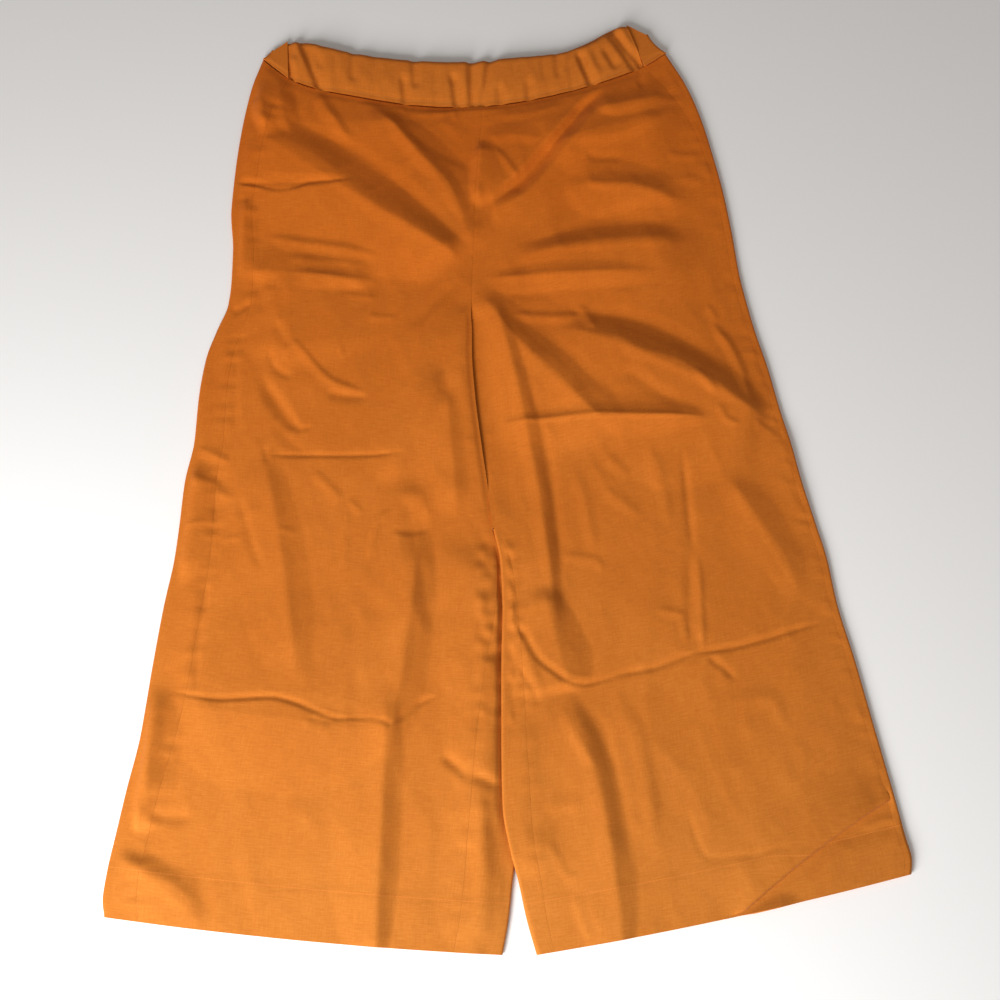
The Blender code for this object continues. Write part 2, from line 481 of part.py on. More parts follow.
def add_piece(name, points, flip, wall, shares, collection, tail=0):
    """A grid bent to the points of a skin, with its wall grown inwards by a Solidify modifier.

    The last tail columns of the grid start only at the row where a back begins to turn over its inner fold.
    """
    rows, columns = points.shape[:2]
    work = bmesh.new()
    bmesh.ops.create_grid(work, x_segments=columns - 1, y_segments=rows - 1, size=1.0)
    work.verts.ensure_lookup_table()
    places = (points.reshape(-1, 3) - np.array((*LAYOUT_CENTRE, 0.0))) * MM
    for vertex, place in zip(work.verts, places):
        vertex.co = place
    row_of, column_of = np.divmod(np.arange(rows * columns), columns)
    kept = (row_of >= WRAP_ROW) | (column_of < columns - tail)
    cut = [vertex for vertex, keep in zip(work.verts, kept) if not keep]
    bmesh.ops.delete(work, geom=cut, context="VERTS")
    if flip:
        bmesh.ops.reverse_faces(work, faces=work.faces)
    for face in work.faces:
        face.smooth = True
    mesh = bpy.data.meshes.new(name)
    work.to_mesh(mesh)
    work.free()
    piece = bpy.data.objects.new(name, mesh)
    collection.objects.link(piece)
    group = piece.vertex_groups.new(name="wall")
    for vertex, row in enumerate(row_of[kept]):
        group.add([vertex], float(shares[row]), "REPLACE")
    solid = piece.modifiers.new("Wall", "SOLIDIFY")
    solid.thickness = wall * MM
    solid.offset = -1.0
    solid.use_even_offset = True
    solid.vertex_group = group.name
    mesh.materials.append(cloth_material(name))


def cloth_material(name):
    material = bpy.data.materials.new(f"{name}_cotton")
    material.use_nodes = True
    shader = material.node_tree.nodes["Principled BSDF"]
    shader.inputs["Base Color"].default_value = CLOTH_COLOUR
    shader.inputs["Roughness"].default_value = CLOTH_ROUGHNESS
    shader.inputs["Metallic"].default_value = 0.0
    return material


def clear_scene():
    for item in list(bpy.data.objects):
        bpy.data.objects.remove(item, do_unlink=True)


def main():
    clear_scene()
    collection = bpy.data.collections.new("Culottes")
    bpy.context.scene.collection.children.link(collection)
    left = Half(LEFT_SECTIONS, LEFT_EASE)
    right = Half(RIGHT_SECTIONS, RIGHT_EASE)
    panel = wall_shares()
    plain = np.ones(BAND_ROWS + 1)
    add_piece("front_left", left.front_grid(), True, HEM_WALL, panel, collection)
    add_piece("front_right", right.front_grid(), False, HEM_WALL, panel, collection)
    add_piece("back_left", left.back_grid(), False, HEM_WALL, panel, collection, TURN_COLUMNS)
    add_piece("back_right", right.back_grid(), True, HEM_WALL, panel, collection, TURN_COLUMNS)
    add_piece("waistband_front", front_band_grid(left, right), False, BAND_WALL, plain, collection)
    add_piece("waistband_back", back_band_grid(left, right), True, BAND_WALL, plain, collection)


main()
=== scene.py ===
import math

import bpy
import numpy as np
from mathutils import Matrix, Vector


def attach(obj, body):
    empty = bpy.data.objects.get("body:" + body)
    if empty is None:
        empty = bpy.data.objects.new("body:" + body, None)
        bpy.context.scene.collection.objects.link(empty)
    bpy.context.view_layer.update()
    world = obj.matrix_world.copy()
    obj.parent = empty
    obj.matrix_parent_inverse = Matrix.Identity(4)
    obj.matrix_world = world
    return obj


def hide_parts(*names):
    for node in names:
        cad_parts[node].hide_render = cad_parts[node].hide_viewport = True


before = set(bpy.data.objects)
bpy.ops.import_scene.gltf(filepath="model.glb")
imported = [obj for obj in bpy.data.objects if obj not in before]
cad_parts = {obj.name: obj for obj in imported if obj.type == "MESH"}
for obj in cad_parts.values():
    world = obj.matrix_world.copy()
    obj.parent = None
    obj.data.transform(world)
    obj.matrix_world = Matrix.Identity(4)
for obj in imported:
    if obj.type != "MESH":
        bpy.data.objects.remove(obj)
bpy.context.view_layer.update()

mm = 0.001

# Lengths are in millimetres on the layout plane, +x to the right and +y up to the waist, until a mesh is made.
# Sections cross the garment from 0 at the waist seam to 22 at the hem, and a row is a place among them.
# A window is given as where it opens, over how far, where it has closed, and over how far.
layout = {
    "centre": (-1.72, 2.72),  # of the outline, which goes to the origin
    "seamGap": 0.1,  # between two panels
    "outerRadius": 1.9,  # of the turned edge at a fold
    "outerHeight": 3.8,  # top of the cloth at a side fold
    "loft": 1.4,  # how far the front floats above its folds
    "outerRise": 60,  # how far in from the side fold it gets that far up
    "innerFlat": 14,  # strip beside a leg's inner fold that doesn't float
    "innerRise": 44,
    "waistRise": 1.3,
    "innerReach": 70,  # strip beside the inner end in which the cloth comes to its height there
    "waistRelief": 0.42,  # share of the broad folds' height that is left at the waist seam
    "foldEdge": {"left": 0.3, "right": 0.6},  # and at the side fold, for each half
    "foldRise": {"left": 12, "right": 24},  # how far in from there they get their full height
    "legFold": (4, 24),  # from where and over how far they rise beside a leg's inner fold
    "creaseRise": 8,  # how far in from the side fold creases get their full height
    "legCrease": (2, 8),
    "waistCrease": 0.4,  # share of the creases' height that is left at the waist seam
    "waistCreaseRise": 0.5,
    "pressed": {  # y of a crease from storage, and half of the strip that it keeps to
        "left": ((256, 8), (-11, 5), (-236, 17)),
        "right": ((22, 6), (-186, 30)),
    },
    "pressedFade": 3,
    "floorHeight": 2.4,  # least height of the top cloth over the back's cloth
    "hemFloorHeight": 3.7,
    "hemFloorRow": 19.4,  # from where it rises to that
    "floorEase": 1.5,
    "liftFlat": 13,  # strip of the right leg that lies on the left leg
    "liftRamp": 44,
    "crotch": 7,  # row at which the legs part
    "wrapStart": 13,  # row at which the backs begin to turn over the inner folds
    "backOpens": 0.08,  # rows above it over which the back's edge draws in
    "frontOpens": 0.12,  # rows below it over which the front's edge does
    "lap": 1.2,  # of the left front over the right one above that
    "lapRows": (7.6, 0.6, 12.5, 0.5),
    "valley": 1.6,  # depth to which both edges turn down there
    "valleyWidth": 5,
    "valleyRows": (7.2, 0.8, 13.4, 1.2),
    "hemBow": -3.5,
    "hemBowRows": 3,
    "waistBlend": 2.5,
}

# Sections from the waist seam down to the hem: outerX, outerY on the side fold, innerX, innerY on the centre
# seam or the leg's inner fold, sideSeam and inseam as distances from those folds, innerHeight, and lift of the
# right leg
sectionNames = ("outerX", "outerY", "innerX", "innerY", "sideSeam", "inseam", "innerHeight", "lift")
sections = {
    "left": np.array([
        (-240, 394, -26, 343, 27, 0, 5, 0),
        (-250, 358, -27, 322, 26, 0, 5, 0),
        (-256, 318, -29, 300, 24, 0, 5.2, 0),
        (-259.5, 275, -31, 265, 22, 0, 5.2, 0),
        (-261, 232, -33, 225, 20, 0, 4.6, 0),
        (-257, 190, -34, 185, 20, 0, 4.2, 0),
        (-256.5, 158, -35, 155, 20, 0, 3.8, 0),
        (-258, 135, -35, 138, 21, 0, 3.8, 0),
        (-267, 108, -35.8, 116, 23, 0, 6.4, 0),
        (-275, 80, -35.5, 85, 24, 0, 7.4, 0),
        (-279, 42, -32.5, 45, 25, 0, 7.8, 0),
        (-280, 3, -27.5, 5, 26, 0, 7.6, 0),
        (-286, -37, -21.6, -35, 28, 0, 6, 0),
        (-288, -78, -14.6, -78, 30, 2.4, 3.4, 0),
        (-290, -106, -5, -108, 31, 7, 3.8, 0),
        (-296, -147, 1, -150, 33, 14, 3.8, 0),
        (-302, -202, 3, -205, 33, 25, 3.8, 0),
        (-307, -256, 4, -262, 30, 33, 3.8, 0),
        (-315, -300, 5, -313, 28, 38, 3.8, 0),
        (-321, -337, 4, -348, 27, 40, 3.8, 0),
        (-325, -362, 1, -374, 27, 39, 3.8, 0),
        (-327, -385, -2, -401, 28, 39, 3.8, 0),
        (-324.5, -400, -7, -428.5, 28, 39, 3.8, 0),
    ]),
    "right": np.array([
        (153, 402, -26, 343, 23, 0, 5, 0),
        (172, 365, -27, 322, 18, 0, 5, 0),
        (184, 330, -29, 300, 12, 0, 5.2, 0),
        (193, 292, -31, 265, 8, 0, 5.2, 0),
        (201, 252, -33, 225, 7, 0, 4.6, 0),
        (207, 210, -34, 185, 7, 0, 4.2, 0),
        (212, 165, -35, 155, 7, 0, 3.8, 0),
        (218, 132, -35, 138, 7, 0, 3.8, 0),
        (224, 105, -35.8, 116, 7, 0, 3, 0),
        (232, 75, -35.5, 85, 7, 0, 2.6, 0),
        (241, 33, -32.5, 45, 7, 0, 2.6, 0),
        (249, 0, -27.5, 5, 7, 0, 2.6, 0),
        (256, -35, -21.5, -35, 7, 0, 2.8, 0.5),
        (266, -75, -15.2, -78, 7, 2.4, 3.4, 3.6),
        (273, -104, -9, -108, 7, 9, 3.8, 4.4),
        (279, -145, -7, -150, 7, 13, 3.8, 4.4),
        (290, -192, -8, -205, 7, 18, 3.8, 4.4),
        (300, -240, -8, -262, 7, 21, 3.8, 5),
        (309, -283, -7, -313, 7, 23, 3.8, 5.2),
        (315, -312, -1, -348, 7, 20, 3.8, 5.2),
        (320, -338, 6, -374, 7, 18, 3.8, 1.5),
        (323.5, -355, 12, -401, 7, 16, 3.8, 0),
        (322, -367, 20, -428.5, 7, 14, 3.8, 0),
    ]),
}
waistSeam = np.array([
    (-244, 399), (-225, 382), (-210, 372), (-195, 365.5), (-180, 361), (-150, 354.5), (-120, 348.5),
    (-90, 344), (-60, 342), (-30, 342.5), (0, 346), (30, 352), (60, 360), (90, 370), (115, 380), (135, 390),
    (157, 405),
])


def soft(value):
    # a soft step from 0 to 1: u squared times (3 - 2u)
    value = np.clip(value, 0, 1)
    return value * value * (3 - 2 * value)


def window(value, low, rise, high, fall):
    # 1 between low and high and 0 outside, with a soft step inside either end
    return soft((value - low) / rise) * soft((high - value) / fall)


def blend(first, second, share):
    # from the first value to the second one: a + (b - a)u
    return first + (second - first) * share


def bell(value, width):
    # 1 at nought, dying away to both sides: e to the minus (v / width) squared
    return np.exp(-(value / width) ** 2)


def arch(share):
    # 0 at both ends and 1 in the middle: 4u(1 - u)
    return 4 * share * (1 - share)


def runningSum(steps, axis=0):
    # nought, and then the sum of the steps so far
    return np.concatenate((np.zeros_like(np.take(steps, [0], axis)), np.cumsum(steps, axis)), axis)


def curveThrough(knots, values, at):
    # a cubic between each pair of knots, whose slopes are the harmonic means of the steps on either side, so
    # that it never swings past the values
    steps = np.diff(values) / np.diff(knots)
    before = np.concatenate((steps[:1], steps))
    after = np.concatenate((steps, steps[-1:]))
    turning = before * after <= 0
    slopes = np.where(turning, 0, 2 * before * after / np.where(turning, 1, before + after))
    index = np.clip(np.searchsorted(knots, at, side="right") - 1, 0, len(knots) - 2)
    width = knots[index + 1] - knots[index]
    u = np.clip((at - knots[index]) / width, 0, 1)
    start = u * (1 - u) ** 2 * width * slopes[index]
    end = u * u * (u - 1) * width * slopes[index + 1]
    return values[index] * (1 - soft(u)) + values[index + 1] * soft(u) + start + end


def tableCurve(table, at):
    # the table's second column over its first one
    return curveThrough(table[:, 0], table[:, 1], at)


def latticeNoise(x, y, cell, seed):
    # a smooth hill and dale from -1 to 1: a seeded value at each corner of a square lattice, softly blended
    size = 64
    values = np.random.default_rng(seed).uniform(-1, 1, (size, size))
    column = np.floor(x / cell).astype(int)
    row = np.floor(y / cell).astype(int)
    nextColumn, nextRow = (column + 1) % size, (row + 1) % size
    column, row, u, v = column % size, row % size, soft(x / cell - column), soft(y / cell - row)
    low = values[row, column] * (1 - u) + values[row, nextColumn] * u
    high = values[nextRow, column] * (1 - u) + values[nextRow, nextColumn] * u
    return low * (1 - v) + high * v


# Broad folds: start, end, bow, height, width of the left flank and of the right one along the way, how many
# times as wide they are at the end, and the share of the way over which they die away there
broadFolds = np.array([
    (-262, 330, -38, 174, -3, 6.6, 40, 88, 0.65, 0.12),  # hip to crotch, left
    (-249, 404, -231, 306, 0, 7, 40, 12, 1, 0.2),
    (-146, 354, -30, 184, 14, 5.8, 12, 40, 3.6, 0.12),
    (-186, 360, -150, 300, 0, 0.9, 10, 14, 1.2, 0.2),
    (-262, 262, -146, 261, -4, -1.3, 12, 7, 0.7, 0.2),
    (-250, 168, -118, 156, 1, 3.6, 36, 16, 0.8, 0.2),
    (-248, 248, -248, 150, 0, 3, 16, 8, 1, 0.3),
    (106, 376, -34, 218, -5, 4, 60, 50, 1, 0.2),  # hip to crotch, right
    (-27, 306, -30, 232, 0, 4.4, 24, 10, 1, 0.2),
    (80, 336, 160, 356, 0, 4, 36, 14, 1, 0.3),
    (28, 296, 178, 342, 0, 5.2, 32, 50, 1.2, 0.35),
    (50, 258, 178, 236, 2, 5.2, 42, 40, 0.5, 0.4),
    (4, 184, 184, 196, 2, 5.6, 18, 58, 1.4, 0.3),
    (-24, 160, 130, 168, 0, 2.2, 12, 22, 1, 0.3),
    (-30, 150, 94, 10, -8, 5, 24, 60, 1.5, 0.14),
    (38, 114, 232, 18, 9, 8, 30, 112, 1, 0.12),
    (-226, 68, -184, 8, 0, -1.2, 7, 12, 1, 0.15),  # left thigh
    (-60, 74, -112, -42, 3, 2.4, 16, 34, 1, 0.2),
    (-50, 72, -98, -52, 3, -1.6, 50, 12, 1, 0.2),
    (-92, -48, -64, -176, 0, -1.8, 50, 14, 1, 0.2),
    (-57, 56, -46, -72, 0, 3.4, 15, 32, 1, 0.25),
    (-219, -8, -178, -216, 3, 3.4, 22, 40, 1, 0.2),
    (-276, -14, -282, -128, 0, 4.4, 26, 8, 1, 0.2),
    (-268, -120, -272, -226, 0, 1.4, 12, 16, 1, 0.2),
    (-204, 168, -198, 66, 0, 4, 90, 46, 1, 0.3),
    (-220, -11, -88, -10, -1, -0.4, 9, 6, 1, 0.2),  # across both legs, from storage
    (-14, 16, 176, 22, 3, 1.8, 10, 24, 1.6, 0.2),
    (74, 24, 178, 22, 0, 2.6, 30, 26, 0.4, 0.2),
    (-290, -220, -196, -226, 0, -0.4, 10, 6, 1, 0.2),
    (-202, -224, -90, -249, 1, -0.5, 10, 6, 1, 0.2),
    (-286, -230, -108, -254, 0, 4.6, 110, 62, 1, 0.2),
    (-60, -270, -6, -302, -2, -1.2, 11, 9, 1, 0.2),
    (28, -128, 52, -222, -2, 5.2, 16, 38, 2, 0.12),
    (54, -215, 168, -185, -2, -0.4, 10, 6, 1, 0.2),
    (-78, -70, -103, -284, 3, 4.8, 20, 36, 1.1, 0.2),  # left leg
    (-103, -206, -107, -444, 0, 4.8, 17, 46, 0.9, 0.12),
    (-299, -212, -303, -336, 0, 6, 28, 8, 1, 0.14),
    (-10, -98, -8, -334, 0, 4.5, 6, 50, 1, 0.2),
    (-26, -286, -24, -448, 0, 3.6, 21, 36, 1, 0.12),
    (-324, -350, -240, -410, 4, 2.4, 16, 42, 1, 0.2),
    (-18, 152, 40, -184, 8, 3, 13, 34, 0.9, 0.2),  # right leg
    (154, -10, 156, -150, 0, -0.4, 8, 8, 1, 0.2),
    (238, 24, 270, -74, 0, 1.6, 10, 30, 1, 0.3),
    (186, -24, 250, -144, 2, 1.6, 26, 22, 0.8, 0.2),
    (42, -214, 88, -444, 12, 4, 18, 42, 1, 0.12),
    (86, -222, 114, -348, 7, 0.7, 10, 18, 1, 0.2),
    (172, -403, 322, -296, 4, 4.2, 45, 6, 1, 0.35),
    (176, -418, 240, -394, 0, 6.4, 30, 14, 0.7, 0.4),
])

# Sharp creases: height (down where negative), flank on the left of the way, flank on the right, sharpness from
# 0, rounded, to 1, pressed, where along the way it is fullest, and the x and y of points that it runs through
creases = (
    # left hip
    (1, 18, 14, 0.4, 0.55, -250, 326, -202, 298, -181, 286, -160, 267, -146, 250, -122, 229, -83, 205,
        -59, 188, -38, 176),
    (-1.2, 12, 16, 0.95, 0.5, -215, 328, -180, 311, -150, 295, -120, 272, -100, 252, -80, 232, -60, 213,
        -42, 196),
    (1.8, 10, 12, 0.9, 0.6, -132, 342, -115, 329, -99, 305, -84, 285, -61, 261, -49, 238, -38, 210),
    (-0.9, 12, 8, 0.9, 0.6, -118, 338, -98, 314, -80, 299, -60, 286, -40, 276),
    (1.5, 8, 10, 0.9, 0.35, -184, 360, -177, 342, -165, 325, -152, 304),
    (1.8, 14, 9, 0.8, 0.5, -224, 378, -220, 355, -216, 332, -206, 308),
    (-0.8, 8, 8, 0.9, 0.5, -210, 372, -205, 350, -198, 322),
    (2, 12, 6, 0.9, 0.4, -248, 352, -242, 334, -228, 318),
    (0.7, 6, 7, 0.9, 0.4, -104, 337, -78, 334, -50, 337),
    (0.8, 4, 5, 0.9, 0.4, -54, 342, -51, 325),
    (0.7, 4, 6, 0.9, 0.4, -105, 346, -96, 325),
    (0.6, 12, 8, 0.8, 0.5, -70, 330, -55, 318, -42, 300),
    (-1, 6, 3.5, 1, 0.25, -262, 262, -240, 257, -215, 251, -200, 253, -188, 258, -150, 260),
    (-0.6, 5, 4, 0.9, 0.3, -261, 242, -240, 242),
    (1.7, 7, 10, 0.95, 0.35, -226, 203, -200, 197, -160, 191, -140, 186, -114, 179),
    (0.7, 6, 7, 0.9, 0.3, -208, 180, -160, 176, -125, 172),
    (0.7, 5, 8, 0.9, 0.5, -202, 166, -180, 163, -155, 159, -126, 151),
    (0.5, 3.5, 5, 0.9, 0.5, -152, 143, -120, 140),
    (-1.4, 5, 5, 1, 0.5, -259, 134, -250, 128, -236, 137),
    (0.7, 3.5, 6, 0.9, 0.4, -132, 123, -118, 121, -100, 121),
    # left thigh
    (-0.9, 8, 8, 0.9, 0.6, -215, 118, -206, 102, -198, 88),
    (-0.6, 8, 9, 0.8, 0.5, -236, 168, -230, 145, -222, 122),
    (1.3, 3.5, 8, 1, 0.5, -202, 103, -188, 89, -172, 70, -158, 58, -140, 51, -124, 46),
    (-1.1, 5, 5, 1, 0.5, -219, 92, -213, 74, -205, 66, -192, 61),
    (-1.3, 6, 11, 1, 0.6, -224, 61, -212, 43, -200, 25, -187, 11),
    (-0.9, 3.5, 3.5, 1, 0.5, -190, 13, -176, 14),
    (-1.1, 5, 8, 0.9, 0.4, -167, 49, -150, 45, -124, 43),
    (0.5, 3.5, 4, 0.9, 0.5, -155, 95, -150, 80),
    (-0.9, 6, 8, 0.8, 0.5, -250, 98, -246, 55, -244, 4),
    (-0.7, 7, 8, 0.9, 0.5, -212, 22, -198, 4, -180, -10),
    (-0.9, 9, 10, 0.7, 0.5, -45, 160, -70, 135, -95, 108),
    (1.2, 11, 14, 0.9, 0.5, -64, 68, -74, 46, -88, 20, -100, -8, -108, -26),
    (-0.7, 4, 3.5, 1, 0.5, -218, -11, -150, -12, -90, -10),
    (-0.7, 4, 4, 1, 0.5, -217, -2, -214, -20),
    (0.9, 6, 8, 0.9, 0.5, -278, -4, -260, -12, -245, -20),
    (-1, 14, 16, 0.6, 0.4, -250, -18, -255, -60, -259, -112),
    (1, 6, 8, 0.9, 0.5, -286, -22, -271, -36, -258, -39, -250, -49, -236, -50),
    # left leg
    (0.6, 8, 12, 0.9, 0.5, -216, -14, -209, -42, -203, -66, -199, -88, -193, -118, -189, -145, -183, -180,
        -179, -214),
    (-0.9, 6, 7, 0.9, 0.5, -238, -48, -229, -74, -222, -95, -213, -118),
    (0.6, 3.5, 5, 0.9, 0.4, -283, -76, -262, -72),
    (0.6, 3.5, 5, 0.9, 0.4, -250, -92, -243, -87, -230, -87),
    (0.6, 3.5, 5, 0.9, 0.4, -202, -79, -185, -83),
    (0.8, 6, 8, 0.9, 0.6, -175, -25, -160, -40, -145, -55),
    (0.7, 4, 6, 0.9, 0.5, -142, -52, -128, -66),
    (0.6, 5, 9, 0.8, 0.5, -142, -55, -143, -118),
    (0.9, 5, 6, 0.9, 0.5, -101, -60, -114, -72, -119, -92, -124, -110),
    (-1.2, 12, 4, 1, 0.5, -103, -80, -86, -82, -68, -78),
    (0.9, 10, 12, 0.8, 0.5, -98, -46, -82, -50, -68, -72),
    (1, 9, 12, 0.9, 0.5, -85, -84, -85, -110, -82, -130, -89, -165, -92, -200, -98, -240),
    (0.9, 16, 12, 0.7, 0.5, -122, -145, -124, -215),
    (-1.1, 5, 6, 0.95, 0.5, -257, -122, -262, -160, -264, -190, -262, -224),
    (-0.7, 4, 4, 0.9, 0.5, -256, -55, -257, -75),
    (-1.1, 4.5, 3.5, 1, 0.4, -287, -219, -265, -224, -242, -227, -222, -226, -200, -225, -182, -229,
        -162, -237, -142, -243, -115, -243, -98, -250),
    (-0.8, 5, 7, 0.9, 0.5, -168, -242, -146, -247),
    (-0.8, 4, 4, 0.9, 0.5, -108, -243, -98, -250),
    (-1.1, 4.5, 4.5, 1, 0.5, -98, -249, -88, -240, -78, -231, -60, -223),
    (1, 10, 16, 0.9, 0.3, -103, -246, -104, -300, -106, -340, -107, -370, -107, -430),
    (-1.2, 6, 5, 0.95, 0.5, -57, -272, -45, -282, -35, -292),
    (-1.2, 6, 5, 0.95, 0.5, -32, -289, -20, -293, -8, -300),
    (0.9, 6, 6, 0.9, 0.5, -24, -306, -21, -345),
    (0.9, 5, 6, 0.9, 0.5, -8, -352, -8, -428),
    (2.2, 13, 14, 0.8, 0.6, -24, -318, -22, -345, -19, -372, -18, -428),
    (2, 12, 6, 0.95, 0.6, -298, -224, -298, -270, -297, -316),
    (-1.2, 8, 8, 0.95, 0.4, -296, -317, -282, -322, -256, -323),
    (1.8, 14, 14, 0.95, 0.5, -319, -351, -296, -363, -268, -376, -246, -396),
    (0.6, 3.5, 5, 0.9, 0.5, -311, -312, -300, -335),
    (0.6, 3.5, 5, 0.9, 0.5, -297, -340, -295, -355),
    # right hip
    (-7, 14, 7, 0.9, 0.5, 97, 368, 79, 350, 68, 338, 60, 326, 48, 310, 38, 297, 28, 284, 18, 271, 8, 260,
        -2, 251, -12, 242, -26, 230),
    (1.2, 5, 6, 1, 0.6, -14, 298, 0, 276, 9, 262),
    (1.2, 14, 10, 0.9, 0.5, -26, 306, 0, 310, 34, 305),
    (1, 10, 8, 0.9, 0.5, -20, 331, 20, 335, 58, 346),
    (1.4, 18, 10, 0.95, 0.5, 52, 301, 76, 304, 100, 309, 120, 317, 150, 333),
    (1.6, 15, 7, 0.95, 0.5, 66, 268, 80, 257, 112, 255, 154, 243),
    (-1, 8, 6, 0.9, 0.5, 70, 292, 84, 284, 110, 286),
    (1.5, 18, 10, 0.95, 0.65, 20, 190, 45, 192, 75, 196, 103, 199, 160, 201),
    (-0.9, 10, 12, 0.9, 0.7, 50, 211, 90, 223, 130, 233, 156, 236),
    (0.8, 6, 8, 0.9, 0.5, 148, 292, 165, 288, 182, 290),
    (0.6, 8, 8, 0.8, 0.5, 150, 262, 168, 264, 186, 258),
    (0.7, 5, 9, 0.9, 0.5, -24, 161, 40, 163, 100, 165, 150, 166),
    (-0.6, 7, 7, 0.9, 0.5, -15, 142, 60, 148, 150, 155),
    (-1.8, 6, 6, 1, 0.3, 128, 390, 128, 375, 127, 359),
    # right thigh
    (1.6, 12, 16, 0.95, 0.5, -26, 146, -10, 122, -3, 110, 17, 88, 37, 69, 57, 45, 76, 27, 90, 16),
    (-1, 9, 12, 0.95, 0.6, -6, 138, 10, 119, 30, 103, 50, 85, 70, 63, 88, 44),
    (1.8, 17, 12, 0.95, 0.55, 74, 104, 98, 99, 116, 87, 135, 82, 152, 76, 165, 67, 182, 56, 200, 42, 216, 30),
    (-1.3, 12, 15, 0.95, 0.5, 70, 128, 100, 122, 130, 114, 150, 104, 168, 91, 186, 78, 204, 68),
    (1.4, 6, 8, 0.95, 0.6, -4, 125, 20, 122, 40, 121, 68, 122),
    (1.3, 7, 8, 0.95, 0.5, 62, 134, 72, 118, 78, 106),
    (-1, 10, 10, 0.9, 0.5, 90, 50, 104, 64, 130, 48, 156, 31),
    (1, 4.5, 5, 1, 0.6, -14, 17, 40, 22, 90, 25, 130, 24, 170, 23),
    (0.8, 5, 6, 0.9, 0.5, 180, 135, 190, 115),
    (2, 7, 8, 0.95, 0.6, 182, 122, 188, 109, 198, 93, 205, 77, 210, 60, 214, 38),
    (1.2, 6, 6, 0.9, 0.5, 163, 68, 175, 56, 184, 42),
    (0.9, 5, 6, 0.9, 0.5, 184, 36, 191, 21, 205, 14),
    (0.7, 5, 9, 0.9, 0.5, 215, 22, 238, 4),
    # right leg
    (1.6, 10, 12, 0.95, 0.35, -14, 132, -4, 98, 5, 66, 11, 34, 16, 4, 22, -24, 27, -54, 31, -88, 35, -118,
        37, -150, 38, -176),
    (-0.8, 7, 7, 0.95, 0.5, 15, 66, 24, 30, 31, 0, 36, -30, 41, -80, 45, -120),
    (0.7, 5, 8, 0.9, 0.5, 40, -102, 75, -108, 80, -120),
    (0.8, 7, 9, 0.9, 0.5, 56, -20, 66, -60, 74, -104),
    (0.7, 7, 9, 0.9, 0.5, 85, -10, 105, -35),
    (0.7, 7, 9, 0.9, 0.5, 80, -40, 115, -70),
    (0.7, 7, 9, 0.9, 0.5, 120, 0, 132, -30, 138, -80),
    (0.7, 20, 10, 0.6, 0.5, 122, 5, 126, -20, 130, -48),
    (-1.1, 5, 5, 1, 0.5, 151, -2, 154, -40, 156, -75, 158, -105),
    (1.3, 4.5, 5, 1, 0.6, 161, -96, 162, -140, 162, -190),
    (-0.8, 5, 7, 0.95, 0.5, 154, -100, 153, -140, 152, -184),
    (0.8, 5, 7, 0.9, 0.5, 120, -150, 145, -155, 150, -185),
    (1, 20, 10, 0.95, 0.5, 192, -32, 215, -70, 235, -101, 247, -134),
    (0.7, 6, 10, 0.9, 0.5, 240, 10, 250, -20, 255, -45),
    (-1.5, 6, 4, 1, 0.35, 2, -158, 15, -180, 22, -192, 36, -204, 52, -213, 62, -214, 76, -211, 92, -206),
    (-0.9, 5, 4, 1, 0.6, 78, -211, 92, -206, 122, -200, 142, -192, 158, -187),
    (-1.3, 5, 4, 1, 0.4, 148, -189, 160, -187, 182, -184, 215, -176, 240, -168, 258, -163, 272, -160),
    (-1.1, 6, 5, 0.95, 0.4, 165, -190, 178, -200, 190, -212),
    (0.7, 10, 12, 0.9, 0.5, 178, -228, 215, -225, 230, -255),
    (0.9, 6, 9, 0.9, 0.5, -5, -100, 5, -165, 30, -230),
    (-0.7, 4, 4, 0.95, 0.5, 5, -197, 20, -222, 25, -235),
    (0.9, 6, 8, 0.9, 0.5, 42, -228, 50, -250, 62, -272, 72, -285),
    (1, 9, 14, 0.9, 0.35, 48, -220, 56, -240, 65, -262, 72, -290, 77, -320, 81, -350, 86, -404),
    (-0.8, 8, 8, 0.9, 0.4, 66, -226, 76, -252, 86, -290, 92, -330, 97, -370),
    (0.8, 8, 12, 0.8, 0.5, 90, -225, 105, -250, 112, -285, 117, -320, 118, -345),
    (0.9, 12, 8, 0.6, 0.5, 25, -315, 60, -312),
    (0.7, 5, 7, 0.9, 0.5, 28, -340, 38, -355, 45, -368, 60, -370),
    (0.7, 6, 8, 0.9, 0.5, 50, -380, 58, -405, 64, -420),
    (-0.6, 4, 4, 0.95, 0.5, 140, -300, 147, -330, 160, -355, 195, -352, 215, -347, 243, -341),
    (-1.8, 4, 12, 0.95, 0.5, 262, -341, 290, -334, 318, -325),
    (0.7, 4, 6, 0.95, 0.5, 268, -329, 300, -325, 318, -322),
)
foldShape = {
    "straight": 0.75,  # share of a flank's height that is straight, where the rest is a soft step
    "ends": 0.6,  # share of its width that a fold has at both ends
    "narrowing": 0.35,  # share of the way over which it comes to that
    "rise": 0.2,  # and over which it rises at the start
}
creaseShape = {
    "step": 4,  # along its path
    "ends": 0.45,
    "power": 1.1,  # of a pointed ridge
}


def wayAlong(x, y, start, end):
    # share of the straight way from start to end, distance to the left of it, and the way's direction
    runX, runY = end[0] - start[0], end[1] - start[1]
    length = math.hypot(runX, runY)
    offX, offY = x - start[0], y - start[1]
    along, side = (offX * runX + offY * runY) / length ** 2, (offY * runX - offX * runY) / length
    return along, side, runX / length, runY / length


